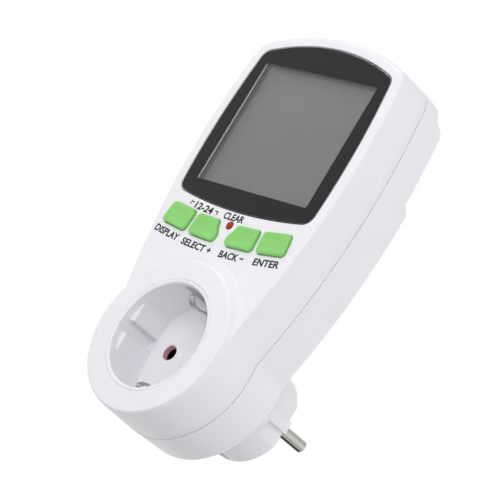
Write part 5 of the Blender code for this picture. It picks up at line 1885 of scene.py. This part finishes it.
def case_screws():
    screw = one_screw()
    places = bpy.data.meshes.new("places")
    places.from_pydata([(x, 0.0, z) for x, z in CASE_SCREWS], [], [])
    row = new_object("places", places)
    tree, sockets = screw_tree()
    modifier = row.modifiers.new("set_screws", "NODES")
    modifier.node_group = tree
    modifier[sockets["Screw"]] = screw
    modifier[sockets["Finish"]] = ZINC
    row = settle(row)
    bpy.data.objects.remove(screw, do_unlink=True)
    return finished(row, "case_screws", ZINC)


hand_over(case_screws(), "meter", "zinc_steel", *[f"case_screw_{i}" for i in (1, 2, 3, 4)])

# %% [markdown]
# The pieces inside keep the imported shape, because the closed housing hides them. They still get finishes of
# their own, for anyone who opens the meter: brass and bronze metal, lacquered boards, moulded cases. The
# socket contacts are seen through the pin holes, and their bronze is painted dark, as painted shade for the
# depth of the holes.

# %% Finishes of the pieces inside
# the contacts' bronze is darkened: painted shade for the depth of the pin holes
SHADED_BRONZE = finish_of("bronze_painted_dark", (0.045, 0.028, 0.022), 0.45, drift=0.15, patch=0.002, metallic=1.0)
BRASS = finish_of("brass_bar", (0.52, 0.34, 0.11), 0.34, drift=0.08, patch=0.003, metallic=1.0)
SHUNT_ALLOY = finish_of("shunt_alloy", (0.36, 0.27, 0.22), 0.38, drift=0.08, patch=0.002, metallic=1.0)
LAMINATE = finish_of("board_laminate", (0.018, 0.110, 0.045), 0.35, grain=0.0008, drift=0.12, patch=0.004)
BLACK_EPOXY = finish_of("black_epoxy", (0.012, 0.012, 0.013), 0.45, drift=0.2, patch=0.003)
BLACK_CASE = finish_of("black_case", (0.020, 0.020, 0.021), 0.5, grain=0.0004, drift=0.15, patch=0.004)
GREY_RUBBER = finish_of("grey_rubber", (0.34, 0.35, 0.34), 0.65, grain=0.0005, drift=0.05, patch=0.006)
CARBON_PILL = finish_of("carbon_pill", (0.015, 0.015, 0.015), 0.7, grain=0.0002, drift=0.2, patch=0.001)
YELLOW_CASE = finish_of("yellow_case", (0.72, 0.50, 0.06), 0.4, drift=0.04, patch=0.004)
BLUE_EPOXY = finish_of("blue_epoxy", (0.02, 0.09, 0.36), 0.3, drift=0.08, patch=0.003)
CERAMIC = finish_of("pale_ceramic", (0.74, 0.72, 0.66), 0.5, drift=0.04, patch=0.002)
WHITE_SHEET = finish_of("white_sheet", (0.80, 0.80, 0.78), 0.55, drift=0.02, patch=0.006)
INSIDE = {
    SHADED_BRONZE: ("socket_contact_left", "socket_contact_right"),
    BRASS: ("neutral_bar", "line_bar", "load_bar"),
    SHUNT_ALLOY: ("shunt",),
    NICKEL: ("backup_cell", "crystal"),
    LAMINATE: ("control_board", "power_board"),
    BLACK_EPOXY: ("controller_blob", "metering_chip"),
    BLACK_CASE: ("cell_holder", "board_header", "filter_capacitor", "reset_switch"),
    GREY_RUBBER: ("keypad_mat", "contact_strip_top", "contact_strip_bottom"),
    CARBON_PILL: ("mode_pill", "up_pill", "down_pill", "set_pill"),
    YELLOW_CASE: ("safety_capacitor",),
    BLUE_EPOXY: ("varistor",),
    CERAMIC: ("fuse",),
    WHITE_SHEET: ("display_backing",),
    ZINC: ("earth_post", "power_screw_1", "power_screw_2", *[f"board_screw_{i}" for i in (1, 2, 3, 4)]),
}
for inner_finish, inner_nodes in INSIDE.items():
    for inner_node in inner_nodes:
        for material_slot in bpy.data.objects[inner_node].material_slots:
            material_slot.material = inner_finish
print("finishes inside", sum(len(inner_nodes) for inner_nodes in INSIDE.values()))

# %% [markdown]

# %% Done
print("the meter is dressed")
